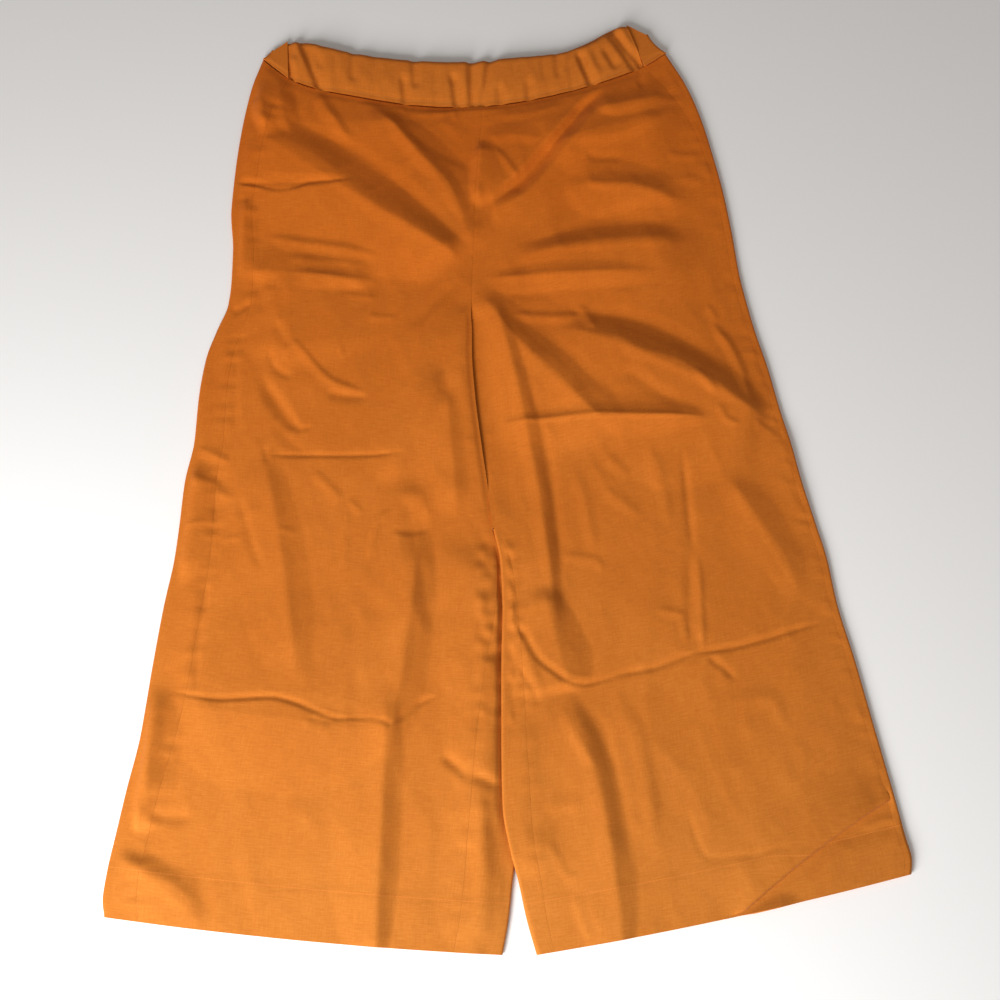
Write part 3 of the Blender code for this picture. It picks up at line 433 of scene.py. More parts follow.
def broadRelief(x, y):
    # each fold: height * (1 - straight * d - (1 - straight) * soft(d)), with d the distance to its bowed line
    # over the flank's width there, narrower and dying away softly at both ends
    relief = np.zeros(np.shape(x))
    for startX, startY, endX, endY, bow, height, left, right, widening, tail in broadFolds:
        along, side = wayAlong(x, y, (startX, startY), (endX, endY))[:2]
        side = side - bow * arch(along)
        within = np.clip(along, 0, 1)
        full = window(within, 0, foldShape["narrowing"], 1, foldShape["narrowing"])
        wide = blend(1, widening, within) * blend(foldShape["ends"], 1, full)
        across = np.minimum(np.abs(side) / (np.where(side > 0, left, right) * wide), 1)
        ridge = 1 - foldShape["straight"] * across - (1 - foldShape["straight"]) * soft(across)
        relief += height * ridge * window(along, 0, foldShape["rise"], 1, tail)
    return relief


def creasePath(points):
    # the points joined by a curve in x and in y over the distance along
    points = np.array(points, float).reshape(-1, 2)
    travelled = runningSum(np.hypot(*np.diff(points, axis=0).T))
    at = np.linspace(0, travelled[-1], max(3, int(travelled[-1] / creaseShape["step"])))
    return curveThrough(travelled, points[:, 0], at), curveThrough(travelled, points[:, 1], at)


def creaseRelief(x, y):
    # each crease: height * full * (sharpness * (1 - d) ** power + (1 - sharpness) * (1 - soft(d))), with d the
    # distance to its path over the flank's width there, and full a soft rise from both ends to where it is
    # fullest, which it reaches halfway there
    relief = np.zeros(np.shape(x))
    for height, left, right, sharpness, fullest, *points in creases:
        pathX, pathY = creasePath(points)
        reach = max(left, right)
        near = (x > pathX.min() - reach) & (x < pathX.max() + reach)
        near &= (y > pathY.min() - reach) & (y < pathY.max() + reach)
        if not near.any():
            continue
        nearX, nearY = x[near], y[near]
        nearest = np.full(nearX.shape, np.inf)
        side, along = np.zeros((2, *nearX.shape))
        travelled = 0
        for aX, aY, bX, bY in zip(pathX[:-1], pathY[:-1], pathX[1:], pathY[1:]):
            runX, runY = bX - aX, bY - aY
            length = math.hypot(runX, runY)
            share = np.clip(((nearX - aX) * runX + (nearY - aY) * runY) / length ** 2, 0, 1)
            distance = np.hypot(nearX - aX - share * runX, nearY - aY - share * runY)
            closer = distance < nearest
            nearest = np.where(closer, distance, nearest)
            side = np.where(closer, runX * (nearY - aY) - runY * (nearX - aX), side)
            along = np.where(closer, travelled + share * length, along)
            travelled += length
        place = along / travelled
        full = soft(2 * np.minimum(place / fullest, (1 - place) / (1 - fullest)))
        wide = np.where(side > 0, left, right) * blend(creaseShape["ends"], 1, full)
        across = np.clip(nearest / wide, 0, 1)
        ridge = sharpness * (1 - across) ** creaseShape["power"] + (1 - sharpness) * (1 - soft(across))
        relief[near] += height * ridge * full
    return relief


def facets(x, y, cell, seed):
    # crumple with pressed edges: a smooth hill and dale folded over where it crosses nought
    bend, bendCell = crumple["facetBend"]
    bentX = x + bend * cell * latticeNoise(x, y, bendCell * cell, seed + 1)
    bentY = y + bend * cell * latticeNoise(x, y, bendCell * cell, seed + 2)
    cosine, sine = crumple["facetTurn"]
    return 0.5 - np.abs(latticeNoise(cosine * bentX + sine * bentY, cosine * bentY - sine * bentX, cell, seed))


# The pleat in the right hem's corner: its upper side laps over the strip below it
pleat = {
    "start": (179, -393),
    "end": (314, -299),
    "bow": 4,
    "window": (-0.08, 0.12, 1.04, 0.1),  # along it
    "overhang": 6.5,
    "reach": 13,  # how far up the cloth is drawn along with it
    "reachBelow": 4,
    "slot": 5.8,  # depth beneath the edge
    "slotAt": -3,
    "slotWidths": (9, 3),  # below and above
}


def pleatWay(x, y):
    # distance up from the pleat's bowed edge, how far it is open there, and its direction
    along, side, runX, runY = wayAlong(x, y, pleat["start"], pleat["end"])
    return side - pleat["bow"] * arch(np.clip(along, 0, 1)), window(along, *pleat["window"]), runX, runY


def pleatShift(x, y):
    # the cloth above the edge is drawn out over the strip, and the cloth below it stays
    side, full, runX, runY = pleatWay(x, y)
    shift = np.where(side > 0, soft(1 - side / pleat["reach"]), soft(1 + side / pleat["reachBelow"]))
    shift = pleat["overhang"] * full * shift
    return x + shift * runY, y - shift * runX


def pleatSlot(x, y):
    # a rounded slot beneath the pleat's edge
    side, full = pleatWay(x, y)[:2]
    width = np.where(side < pleat["slotAt"], *pleat["slotWidths"])
    return -pleat["slot"] * full * bell(side - pleat["slotAt"], width)


# The left leg swells up beside the edge of the right leg that lies on it
swell = {
    "height": 3.4,
    "y": (-372, 60, -92, 24),
    "outwards": (0.5, 4, 66, 60),  # distance from that edge
}


def besideUpperLeg(x, y):
    # a window down the leg times a window out from the upper leg's inner fold
    edge = np.interp(-y, -sections["right"][:, 3], sections["right"][:, 2])
    return swell["height"] * window(y, *swell["y"]) * window(edge - x, *swell["outwards"])


crumple = {
    "facets": ((0.9, 0.55, 38, 31), (0.45, 0.65, 19, 41)),  # height, how far drawn out along y, cell, seed
    "facetBend": (0.35, 1.7),  # how far a cell is bent, and the cell of that, over its own size
    "facetTurn": (0.8, 0.6),  # cosine and sine
    "ripple": (0.12, 17, 3),  # height, cell, seed
    "slantRipple": (0.08, 9, 5),
    "pucker": 0.5,  # square to a seam
    "puckerCell": 6.5,
    "puckerWidth": 9,
    "centrePucker": 0.3,  # share of it at the centre seam
    "groove": 0.12,  # along a seam
    "grooveWidth": 1.6,
    "drawnUp": (1.5, 9, 51),  # height, cell, seed, where the left inseam is drawn up above the knee
    "drawnUpX": (-34, 12, 6, 6),
    "drawnUpY": (-262, 20, -70, 20),
    "bandGroove": 1.6,  # under the waistband
    "bandGrooveMore": 1.2,
    "bandGrooveX": (-190, 20, -40, 20),  # where there is more
    "bandGrooveWidth": 4.2,
}


class Half:
    # one half of the culottes on finer rows, from its side fold to the centre seam or the leg's inner fold
    def __init__(self, side, rows, travelled=0):
        self.under = side == "left"
        self.foldRise, self.foldEdge = layout["foldRise"][side], layout["foldEdge"][side]
        self.rows = rows[:, None]
        self.travelled = np.reshape(travelled, (-1, 1))
        for name, column in zip(sectionNames, sections[side].T):
            setattr(self, name, curveThrough(np.arange(float(len(column))), column, rows)[:, None])
        self.leg = soft(self.rows - layout["crotch"])
        wrapped = self.rows - layout["wrapStart"]
        self.wraps = wrapped >= 0
        self.backOpening = np.clip(wrapped / layout["backOpens"] + 1, 0, 1)
        self.frontOpening = np.clip(wrapped / layout["frontOpens"], 0, 1)
        self.lap = layout["lap"] * self.under * window(self.rows, *layout["lapRows"])
        self.runX = self.innerX - self.outerX
        self.runY = self.innerY - self.outerY
        self.width = np.hypot(self.runX, self.runY)

    def place(self, across):
        # straight from the outer end to the inner one, bent to the waist seam at the top and bowed at the hem
        share = across / self.width
        x = self.outerX + self.runX * share
        y = self.outerY + self.runY * share
        seam = tableCurve(waistSeam, self.outerX[0] + self.runX[0] * share) - layout["seamGap"] / 2
        straight = self.outerY[0] + self.runY[0] * share
        atWaist = 1 - soft(self.rows / layout["waistBlend"])
        atHem = soft(1 - (self.rows[-1] - self.rows) / layout["hemBowRows"])
        return x, y + (seam - straight) * atWaist + layout["hemBow"] * arch(share) * atHem

    def bottomHeight(self, across):
        # the lift, falling from its flat strip over its ramp
        inner = self.width - across
        return self.lift * (1 - soft((inner - layout["liftFlat"]) / layout["liftRamp"]))

    def besideLeg(self, inner, start, rise):
        # 1, but rising softly from the inner fold where there is a leg
        return blend(1, soft((inner - start) / rise), self.leg)

    def topHeight(self, across):
        # height at both ends, plus the loft between them, the broad folds, the creases and the crumple, all
        # eased on to the least height that the cloth can have
        inner = self.width - across
        fromFold = across - layout["outerRadius"]
        x, y = self.place(across)
        waistRise = soft(self.rows / layout["waistRise"])
        loft = layout["loft"] * soft(fromFold / layout["outerRise"]) * waistRise
        loft = loft * soft((inner - layout["innerFlat"] * self.leg) / layout["innerRise"])
        free = blend(self.foldEdge, 1, soft(fromFold / self.foldRise))
        free = free * self.besideLeg(inner, *layout["legFold"]) * blend(layout["waistRelief"], 1, waistRise)
        ends = blend(layout["outerHeight"], self.innerHeight, soft(1 - inner / layout["innerReach"]))
        height = ends + loft + broadRelief(x, y) * free + self.rolledEdge(inner)
        fine = creaseRelief(x, y) * blend(layout["waistCrease"], 1, soft(self.rows / layout["waistCreaseRise"]))
        fine = (fine + self.smallRelief(x, y, across)) * self.besideLeg(inner, *layout["legCrease"])
        height = height + (fine + pleatSlot(x, y)) * soft(fromFold / layout["creaseRise"])
        if self.under:
            height = height + besideUpperLeg(x, y)
        atHem = soft(self.rows - layout["hemFloorRow"])
        floor, ease = blend(layout["floorHeight"], layout["hemFloorHeight"], atHem), layout["floorEase"]
        over = height - floor
        height = floor + np.where(over > ease, over, ease * np.exp(np.minimum(over, ease) / ease - 1))
        return height + self.bottomHeight(across)

    def smallRelief(self, x, y, across):
        # faint crumple in the cloth, short puckers square to each seam, and a groove along it
        relief = sum(high * facets(x, long * y, cell, seed) for high, long, cell, seed in crumple["facets"])
        high, *kind = crumple["ripple"]
        relief = relief + high * latticeNoise(x, y, *kind)
        high, *kind = crumple["slantRipple"]
        relief = relief + high * latticeNoise(x + y, y - x, *kind)
        centre = blend(crumple["centrePucker"], 1, self.leg)
        for seam, seed, full in ((self.sideSeam, 11, 1), (self.width - self.inseam, 12, centre)):
            off = across - seam
            seamLine = np.full_like(self.travelled, 7)
            pucker = full * latticeNoise(self.travelled, seamLine, crumple["puckerCell"], seed)
            relief = relief + crumple["pucker"] * pucker * bell(off, crumple["puckerWidth"])
            relief = relief - crumple["groove"] * bell(off, crumple["grooveWidth"])
        high, *kind = crumple["drawnUp"]
        drawn = window(x, *crumple["drawnUpX"]) * window(y, *crumple["drawnUpY"])
        relief = relief + high * drawn * latticeNoise(x, y, *kind)
        groove = crumple["bandGroove"] + crumple["bandGrooveMore"] * window(x, *crumple["bandGrooveX"])
        return relief - groove * bell(self.travelled - self.travelled.min(), crumple["bandGrooveWidth"])

    def rolledEdge(self, inner):
        # between the crotch and where the inseam comes on top, both edges turn down into a narrow valley
        depth = layout["valley"] * window(self.rows, *layout["valleyRows"])
        return -depth * soft(1 - inner / layout["valleyWidth"])


def gridRows(side, spacing):
    # rows that grid lines cross at, spaced evenly along the mean of both ends, but half as far apart where a
    # pressed crease runs across, and how far down they are
    middle = (sections[side][:, 0:2] + sections[side][:, 2:4]) / 2
    travelled = runningSum(np.hypot(*np.diff(middle, axis=0).T))
    step, fade = 0.25, layout["pressedFade"]
    fine = np.arange(0, travelled[-1], step)
    height = np.interp(fine, travelled, middle[:, 1])
    density = np.ones_like(fine)
    for place, reach in layout["pressed"][side]:
        density += soft((reach + fade - np.abs(height - place)) / fade)
    counted = runningSum(density * step)
    count = int(counted[-1] / spacing) + 1
    at = np.interp(np.linspace(0, counted[-1], count), counted, np.append(fine, travelled[-1]))
    return np.interp(at, travelled, np.arange(len(middle))), at


def gridMesh(name, x, y, height, flip, uv, hemDistance, keep=None):
    # a face between each four neighbours in the grid, wound the other way round where flip is set
    rows, columns = x.shape
    index = np.arange(rows * columns).reshape(rows, columns)
    quads = np.stack((index[:-1, :-1], index[:-1, 1:], index[1:, 1:], index[1:, :-1]), axis=-1).reshape(-1, 4)
    if keep is not None:
        quads = quads[keep.reshape(-1)[quads].all(axis=1)]
    used = np.zeros(rows * columns, bool)
    used[quads] = True
    quads = (np.cumsum(used) - 1)[quads]
    if flip:
        quads = quads[:, ::-1]
    corners, count = quads.ravel(), quads.size
    centreX, centreY = layout["centre"]
    places = np.stack((x - centreX, y - centreY, height), axis=-1).reshape(-1, 3)[used] * mm
    mesh = bpy.data.meshes.new(name)
    mesh.vertices.add(len(places))
    mesh.vertices.foreach_set("co", places.ravel())
    mesh.loops.add(count)
    mesh.loops.foreach_set("vertex_index", corners)
    mesh.polygons.add(len(quads))
    mesh.polygons.foreach_set("loop_start", np.arange(0, count, 4))
    mesh.polygons.foreach_set("use_smooth", np.ones(len(quads), bool))
    mesh.update(calc_edges=True)
    edges = np.empty(count, int)
    mesh.loops.foreach_get("edge_index", edges)
    rim = mesh.attributes.new("sharp_edge", "BOOLEAN", "EDGE")  # keeps cut edges out of the smooth shading
    rim.data.foreach_set("value", np.bincount(edges, minlength=len(mesh.edges)) == 1)
    layer = mesh.uv_layers.new(name="weave")
    layer.data.foreach_set("uv", (uv.reshape(-1, 2)[used] * mm)[corners].ravel())
    edge = mesh.attributes.new("edgeDistance", "FLOAT", "POINT")
    edge.data.foreach_set("value", hemDistance.reshape(-1)[used] * mm)
    mesh.validate()
    piece = bpy.data.objects.new(name, mesh)
    bpy.context.scene.collection.objects.link(piece)
    return piece, used


def thicken(piece, thickest, shares):
    # the wall grows inwards, by a share of its thickest at each point
    group = piece.vertex_groups.new(name="wall")
    for share in np.unique(shares):
        group.add(np.flatnonzero(shares == share).tolist(), float(share), "REPLACE")
    wall = piece.modifiers.new("Wall", "SOLIDIFY")
    wall.thickness = thickest * mm
    wall.offset = -1
    wall.vertex_group = group.name


def clothLengths(x, y, height):
    # lengths of cloth across and down, summed from point to point
    across = runningSum(np.sqrt(sum(np.diff(values, axis=1) ** 2 for values in (x, y, height))), 1)
    return across, runningSum(np.hypot(np.diff(x, axis=0), np.diff(y, axis=0)))


def panelCloth(x, y, height):
    # the weave's coordinates, from the middle of each row and up from the hem, and the distance up from the hem
    across, down = clothLengths(x, y, height)
    distance = down[-1:] - down
    return np.stack((across - across.mean(axis=1, keepdims=True), -distance), axis=-1), distance


frontPanel = {
    "spacing": 2.4,  # between grid lines
    "columns": 128,
    "wall": 0.8,
    "hemWall": 1.4,
    "hemDepth": 42,  # turn-up
    "hemFade": 2.5,
    "hemRise": 0.35,  # how proud it stands
    "dimple": 0.3,  # where it is stitched down
    "dimpleWidth": 1.3,
    "stitchInset": 2.5,
}
backPanel = {
    "stripColumns": 12,  # from a seam to its fold
    "arcColumns": 7,
    "bottomColumns": 20,
    "rampStops": np.array([57, 49, 41, 34, 27, 20, 13]),  # where the bottom bends up over the other leg
}


def hemShares(distance):
    # thicker over the turn-up
    turned = soft((frontPanel["hemDepth"] - distance) / frontPanel["hemFade"])
    return np.round(blend(frontPanel["wall"], frontPanel["hemWall"], turned) / frontPanel["hemWall"], 1)


def hemRelief(distance):
    # the turn-up stands a little proud, with a dimple where it is stitched down
    below = frontPanel["hemDepth"] - distance
    dimple = frontPanel["dimple"] * bell(below - frontPanel["stitchInset"], frontPanel["dimpleWidth"])
    return frontPanel["hemRise"] * soft((below + 1) / 2) - dimple


def buildFront(side):
    # even columns from the side seam to the centre seam or the inseam
    half = Half(side, *gridRows(side, frontPanel["spacing"]))
    start = half.sideSeam + layout["seamGap"] / 2
    stop = half.width + half.lap - layout["seamGap"] / 2 - half.inseam * half.frontOpening
    across = blend(start, stop, np.linspace(0, 1, frontPanel["columns"] + 1))
    x, y = half.place(across)
    height = half.topHeight(across)
    uv, distance = panelCloth(x, y, height)
    x, y = pleatShift(x, y)
    name = "frontPanel" + side.capitalize()
    piece, used = gridMesh(name, x, y, height + hemRelief(distance), side == "left", uv, distance)
    thicken(piece, frontPanel["hemWall"], hemShares(distance).reshape(-1)[used])
    return piece


def foldArc(half, angle, edge, inwards):
    # half a turn round the fold: out by the sine and down by the cosine of the angle
    radius = inwards * layout["outerRadius"]
    top, bottom = half.topHeight(edge + radius), half.bottomHeight(edge + radius)
    return edge + radius * (1 - np.sin(angle)), bottom + (top - bottom) * (1 + np.cos(angle)) / 2


def buildBack(side):
    # from the side seam out to the fold, round it, across underneath, and, on the leg, round its inner fold to
    # the inseam
    half = Half(side, *gridRows(side, frontPanel["spacing"]))
    radius, gap = layout["outerRadius"], layout["seamGap"] / 2
    angles = np.linspace(0, math.pi, backPanel["arcColumns"] + 1) * np.ones_like(half.width)
    stripShare = np.linspace(0, 1, backPanel["stripColumns"] + 1)
    strip = blend(half.sideSeam - gap, radius, stripShare[:-1])
    arc, arcHeight = foldArc(half, angles, 0, 1)
    ramp = half.width - backPanel["rampStops"]
    plain = blend(radius, ramp[:, :1], np.linspace(0, 1, backPanel["bottomColumns"] + 1)[1:-1])
    edge = half.width - blend(gap, radius, half.backOpening)
    under = np.concatenate((plain, ramp, edge), axis=1)
    curl, curlHeight = foldArc(half, angles[:, ::-1], half.width, -1)
    inner = blend(curl[:, -1:], half.width - half.inseam + gap, stripShare[1:])
    x, y = half.place(np.concatenate((strip, arc, under, curl[:, 1:], inner), axis=1))
    height = np.concatenate((
        half.topHeight(strip), arcHeight, half.bottomHeight(under), curlHeight[:, 1:], half.topHeight(inner),
    ), axis=1)
    uv, distance = panelCloth(x, y, height)
    for seen in (slice(None, strip.shape[1]), slice(-inner.shape[1], None)):
        height[:, seen] += hemRelief(distance[:, seen])
    keep = np.ones(x.shape, bool)
    keep[:, -backPanel["arcColumns"] - backPanel["stripColumns"]:] = half.wraps
    name = "backPanel" + side.capitalize()
    piece, used = gridMesh(name, x, y, height, side == "right", uv, distance, keep)
    thicken(piece, frontPanel["hemWall"], hemShares(distance).reshape(-1)[used])
    return piece


def countFaces(*pieces):
    return sum(len(piece.data.polygons) for piece in pieces)


frontLeft, frontRight = buildFront("left"), buildFront("right")
print("front panels:", countFaces(frontLeft, frontRight), "faces")
backLeft, backRight = buildBack("left"), buildBack("right")
print("back panels:", countFaces(backLeft, backRight), "faces")

waistband = {
    "height": 5.4,  # of the turned ends and of the back
    "rise": 1,  # of the front of the band above that
    "wall": 1.6,
    "foldRadius": 2.7,
    "seamGap": 0.4,
    "endRise": 1.3,
    "endDrop": 1,  # of the front's ends
    "endReach": 7,
    "thinnest": 0.2,  # share of the wall at the seam and at the ends
    "thinReach": (0.1, 4),  # over how far it thickens, up as a share of the band's height and inwards
    "lip": 1.2,  # how deep the band dips towards the seam
    "lipReach": 0.5,  # as a share of the band's height
    "tilt": 2.4,
    "crown": 0.4,
    "roundedFrom": 0.9,
    "rounding": 2.4,
    "dimple": (0.35, 0.1, 0.03),  # along the stitches: depth, place and width
    "gatherSpread": 1.4,
    "gatherStraight": 0.6,  # share of a flank's depth that is straight
    "gatherEnds": (0.2, 0.25),  # over how far a lower end and an upper one die away
    "ripple": (0.25, 5, 21),  # height, cell, seed
    "rippleWay": (3, 20),  # how far it runs across and up over the band's height
    "reveal": 1.5,  # of the back of the band above the front of it
    "revealMore": 3,
    "revealAt": 80,
    "revealWidth": 45,
    "leftEnd": (-240, -231.5, 406.5, -0.8),  # fold: x at the seam, x and y at the upper edge, bow
    "rightEnd": (153, 136, 424.5, 2),
    "rows": 26,
    "frontColumns": 110,  # for each half
    "stripColumns": 12,
    "bottomColumns": 60,
    "bottomInset": 8,  # of the under layer from its fold
    "upperEdge": np.array([
        (-234, 404), (-228, 409.5), (-216, 415), (-203, 415.8), (-180, 410), (-155, 403.5), (-130, 398.5),
        (-95, 394.3), (-60, 392.4), (-30, 393.3), (0, 397), (25, 399.3), (50, 403.5), (65, 410), (80, 417.5),
        (95, 427), (108, 433), (118, 434), (128, 430), (136, 424),
    ]),
    # x on the seam and x on the upper edge that it runs up to
    "rungs": np.array([
        (-240, -231.5), (-228, -226), (-213, -216), (-205, -210), (-196, -203), (-180, -184), (-150, -152),
        (-100, -98), (-50, -47), (0, 1), (50, 47), (75, 67), (95, 84), (112, 99), (130, 114), (145, 126),
        (153, 132.5),
    ]),
    # gathers: x on the seam, depth, width to the left and to the right, how far left its upper end leans, and
    # the shares of the band's height between which it runs
    "gathers": np.array([
        (-211, 3.4, 4, 6, 4, 0, 1), (-205, 1.7, 4, 5, 3, 0.5, 1), (-183, 3.4, 4, 10, 14, 0, 1),
        (-180, 1.4, 3.5, 5, 2, 0.4, 0.9), (-166, 0.7, 4, 6, 0, 0, 0.6), (-151, 1.8, 3.5, 6, 0, 0.25, 1),
        (-131, 0.7, 4, 6, 0, 0.3, 1), (-100, 2.4, 3.5, 7, 7, 0, 0.7), (-91, 2.1, 3.5, 7, 4, 0.3, 1),
        (-74, 0.8, 4, 7, 0, 0.2, 0.9), (-50, 3.1, 4, 8, 10, 0, 0.8), (-36, 3.4, 4, 8, 4, 0, 1),
        (-27, 2.8, 4, 7, -6, 0, 1), (-8, 1.4, 4, 6, 8, 0, 0.5), (19, 1.5, 4, 6, 3, 0, 0.55),
        (34, 0.7, 4, 6, 0, 0.3, 1), (49, 1.1, 4, 6, 1, 0.3, 1), (63, 0.8, 4, 6, 2, 0, 0.8),
        (80, 3.1, 4, 7, 8, 0, 0.95), (93, 1.1, 4, 6, 4, 0.2, 0.9), (108, 2.2, 4, 7, 11, 0.1, 0.85),
        (123, 2.5, 4, 5, 14, 0, 1), (130, 3.4, 4, 5, 16, 0, 1),
    ]),
}


def bandPoint(seamX, share, reveal=0):
    # straight up a rung from the waist seam to the upper edge
    lowY = tableCurve(waistSeam, seamX) + layout["seamGap"] / 2
    highX = tableCurve(waistband["rungs"], seamX)
    highY = tableCurve(waistband["upperEdge"], highX) - reveal
    return seamX + (highX - seamX) * share, lowY + (highY - lowY) * share


def bandEnd(end, share, reach, side):
    # a distance in from the band's end fold, square to it, with the fold slightly bowed
    seamX, upperX, upperY, bow = end
    seamY = tableCurve(waistSeam, np.array([seamX]))[0] + waistband["endRise"]
    runX, runY = upperX - seamX, upperY - seamY
    inset = side * (reach - bow * side * arch(share)) / math.hypot(runX, runY)
    return seamX + runX * share + runY * inset, seamY + runY * share - runX * inset


def gatherDepth(seamX, share):
    # each gather: depth * (1 - straight * d - (1 - straight) * soft(d)), with d the distance to its leaning
    # line over the flank's width, dying away at the ends that don't reach the band's edges
    rippleHeight, *kind = waistband["ripple"]
    runX, runY = waistband["rippleWay"]
    depth = rippleHeight * latticeNoise(seamX + runX * share, runY * share, *kind)
    straight, (lowEnd, highEnd) = waistband["gatherStraight"], waistband["gatherEnds"]
    for place, deep, left, right, lean, low, high in waistband["gathers"]:
        off = seamX - place + lean * share
        across = np.minimum(np.abs(off) / (waistband["gatherSpread"] * np.where(off < 0, left, right)), 1)
        ends = soft((share - low) / lowEnd + (low == 0)) * soft((high - share) / highEnd + (high == 1))
        depth = depth + deep * (1 - straight * across - (1 - straight) * soft(across)) * ends
    return depth


def bandProfile(share):
    # a dip towards the seam, a dimple along the stitches, a tilt and a low crown over the elastic, and a
    # rounded upper edge
    lip = waistband["lip"] * soft(1 - share / waistband["lipReach"])
    depth, place, width = waistband["dimple"]
    rounded = np.clip((share - waistband["roundedFrom"]) / (1 - waistband["roundedFrom"]), 0, 1)
    raised = waistband["crown"] * arch(share) + waistband["tilt"] * share
    return raised - lip - depth * bell(share - place, width) - waistband["rounding"] * rounded ** 2


def bandMesh(name, x, y, height, flip, wall):
    # the weave runs across the band and up from the seam
    across, up = clothLengths(x, y, np.zeros_like(x))
    piece, used = gridMesh(name, x, y, height, flip, np.stack((across, up), axis=-1), up)
    thicken(piece, waistband["wall"], wall.reshape(-1)[used])
    return piece


def bandHalf(side):
    half = Half(side, np.array([0.0, len(sections[side]) - 1]))  # the first and last rows alone
    return half, half.sideSeam[0] + waistband["seamGap"] / 2, half.width[0]


def alongSeam(half, across):
    # x on the waist seam at a distance from the side fold
    return half.place(np.stack((across, across)))[0][0]


def bandShares():
    return np.linspace(0, 1, waistband["rows"] + 1)[:, None]


def buildFrontBand():
    # rungs up from both halves of the waist seam, gathered and rounded, with dipped and thinned ends
    seams = []
    for side in sections:
        half, start, stop = bandHalf(side)
        seams.append(alongSeam(half, blend(start, stop, np.linspace(0, 1, waistband["frontColumns"] + 1))))
    seamX = np.concatenate((seams[0], seams[1][::-1][1:]))[None, :]
    share = bandShares()
    highX = tableCurve(waistband["rungs"], seamX)
    more = soft(1 - np.abs(highX - waistband["revealAt"]) / waistband["revealWidth"])
    x, y = bandPoint(seamX, share, waistband["reveal"] + waistband["revealMore"] * more)
    inward = np.minimum(seamX - seamX.min(), seamX.max() - seamX)
    height = waistband["height"] + waistband["rise"] - gatherDepth(seamX, share) + bandProfile(share)
    height = height - waistband["endDrop"] * soft(1 - inward / waistband["endReach"])
    upReach, inReach = waistband["thinReach"]
    wall = blend(waistband["thinnest"], 1, soft(share / upReach) * soft(inward / inReach))
    return bandMesh("waistbandFront", x, y, height, False, wall)


def backBandHalf(side, end, inwards):
    # a strip on top from the front's end to the fold, round it, and the under layer
    half, start, stop = bandHalf(side)
    share = bandShares()
    angles = np.linspace(0, math.pi, backPanel["arcColumns"] + 1)
    fold = bandEnd(end, share, waistband["foldRadius"] * (1 - np.sin(angles)), inwards)
    foldHeight = np.tile(waistband["height"] * (1 + np.cos(angles)) / 2, share.shape)
    seam = bandPoint(alongSeam(half, start - waistband["seamGap"]), share)
    stripShare = np.linspace(0, 1, waistband["stripColumns"], endpoint=False)
    strip = [blend(a, b[:, :1], stripShare) for a, b in zip(seam, fold)]
    begin = layout["outerRadius"] + waistband["bottomInset"]
    across = np.linspace(begin, stop[0], waistband["bottomColumns"] + 1)
    bottom = bandPoint(alongSeam(half, across[1:]), share)
    stripHeight = waistband["height"] + np.minimum(bandProfile(share), 0) / 2 + np.zeros_like(strip[0])
    x, y = (np.concatenate(parts, axis=1) for parts in zip(strip, fold, bottom))
    return x, y, np.concatenate((stripHeight, foldHeight, np.zeros_like(bottom[0])), axis=1)


def buildBackBand():
    # the left half, and the right one the other way round, in one grid
    halves = backBandHalf("left", waistband["leftEnd"], 1), backBandHalf("right", waistband["rightEnd"], -1)
    x, y, height = (np.concatenate((a[:, :-1], b[:, ::-1]), axis=1) for a, b in zip(*halves))
    return bandMesh("waistbandBack", x, y, height, True, np.ones_like(x))


bandFront, bandBack = buildFrontBand(), buildBackBand()
print("waistband:", countFaces(bandFront, bandBack), "faces")

cotton = {
    "shades": (
        (0.36, (0.555, 0.149, 0.0155, 1)),  # place on the ramp and colour
        (0.5, (0.62, 0.178, 0.021, 1)),
        (0.64, (0.69, 0.21, 0.03, 1)),
    ),
    # painted light and shade: the cloth is tinted deeper and redder at the waist and on the band, where less
    # light falls, and paler at the hem, where the light is brightest
    "waistShadeTint": (1, 0.78, 0.38, 1),
    "bandShadeTint": (1, 0.93, 0.74, 1),
    "hemLightTint": (0.88, 0.97, 1, 1),
    "tintFrom": 0.3,  # y at which the painted shade tint of the upper part begins to give way to the hem's painted light tint, in metres
    "tintTo": -0.42,
    "noises": ((90, 950, 2), (950, 70, 2), (9, 9, 3), (420, 420, 1)),  # slubs both ways, patches and speckle
    "shade": (0.34, 0.22, 0.3, 0.14),  # share of each of them
    "relief": (0.5, 0.9, 0.5, 1.5),  # of the threads, both slubs and the stitches
    "threads": {"Distortion": 0.6, "Detail": 1, "Detail Scale": 0.25},
    "threadsPerMetre": 1700,
    "threadColour": (0.66, 0.2, 0.03, 1),
    "stitchesPerMetre": 360,
    "stitchShare": 0.78,
    "stitchWidth": 0.00035,
    "bandStitch": 0.0042,  # up from the waist seam
    "surface": {
        "Roughness": 0.78, "Specular IOR Level": 0.15, "Sheen Weight": 0.06, "Sheen Roughness": 0.5,
        "Sheen Tint": (1, 0.78, 0.55, 1),
    },
    "bump": {"Strength": 0.2, "Distance": 0.00025},
}


def fill(node, values):
    # each value is linked to its socket where it is another node's output, and set on it otherwise
    for socket, value in values.items():
        if isinstance(value, bpy.types.NodeSocket):
            node.id_data.links.new(value, node.inputs[socket])
        else:
            node.inputs[socket].default_value = value


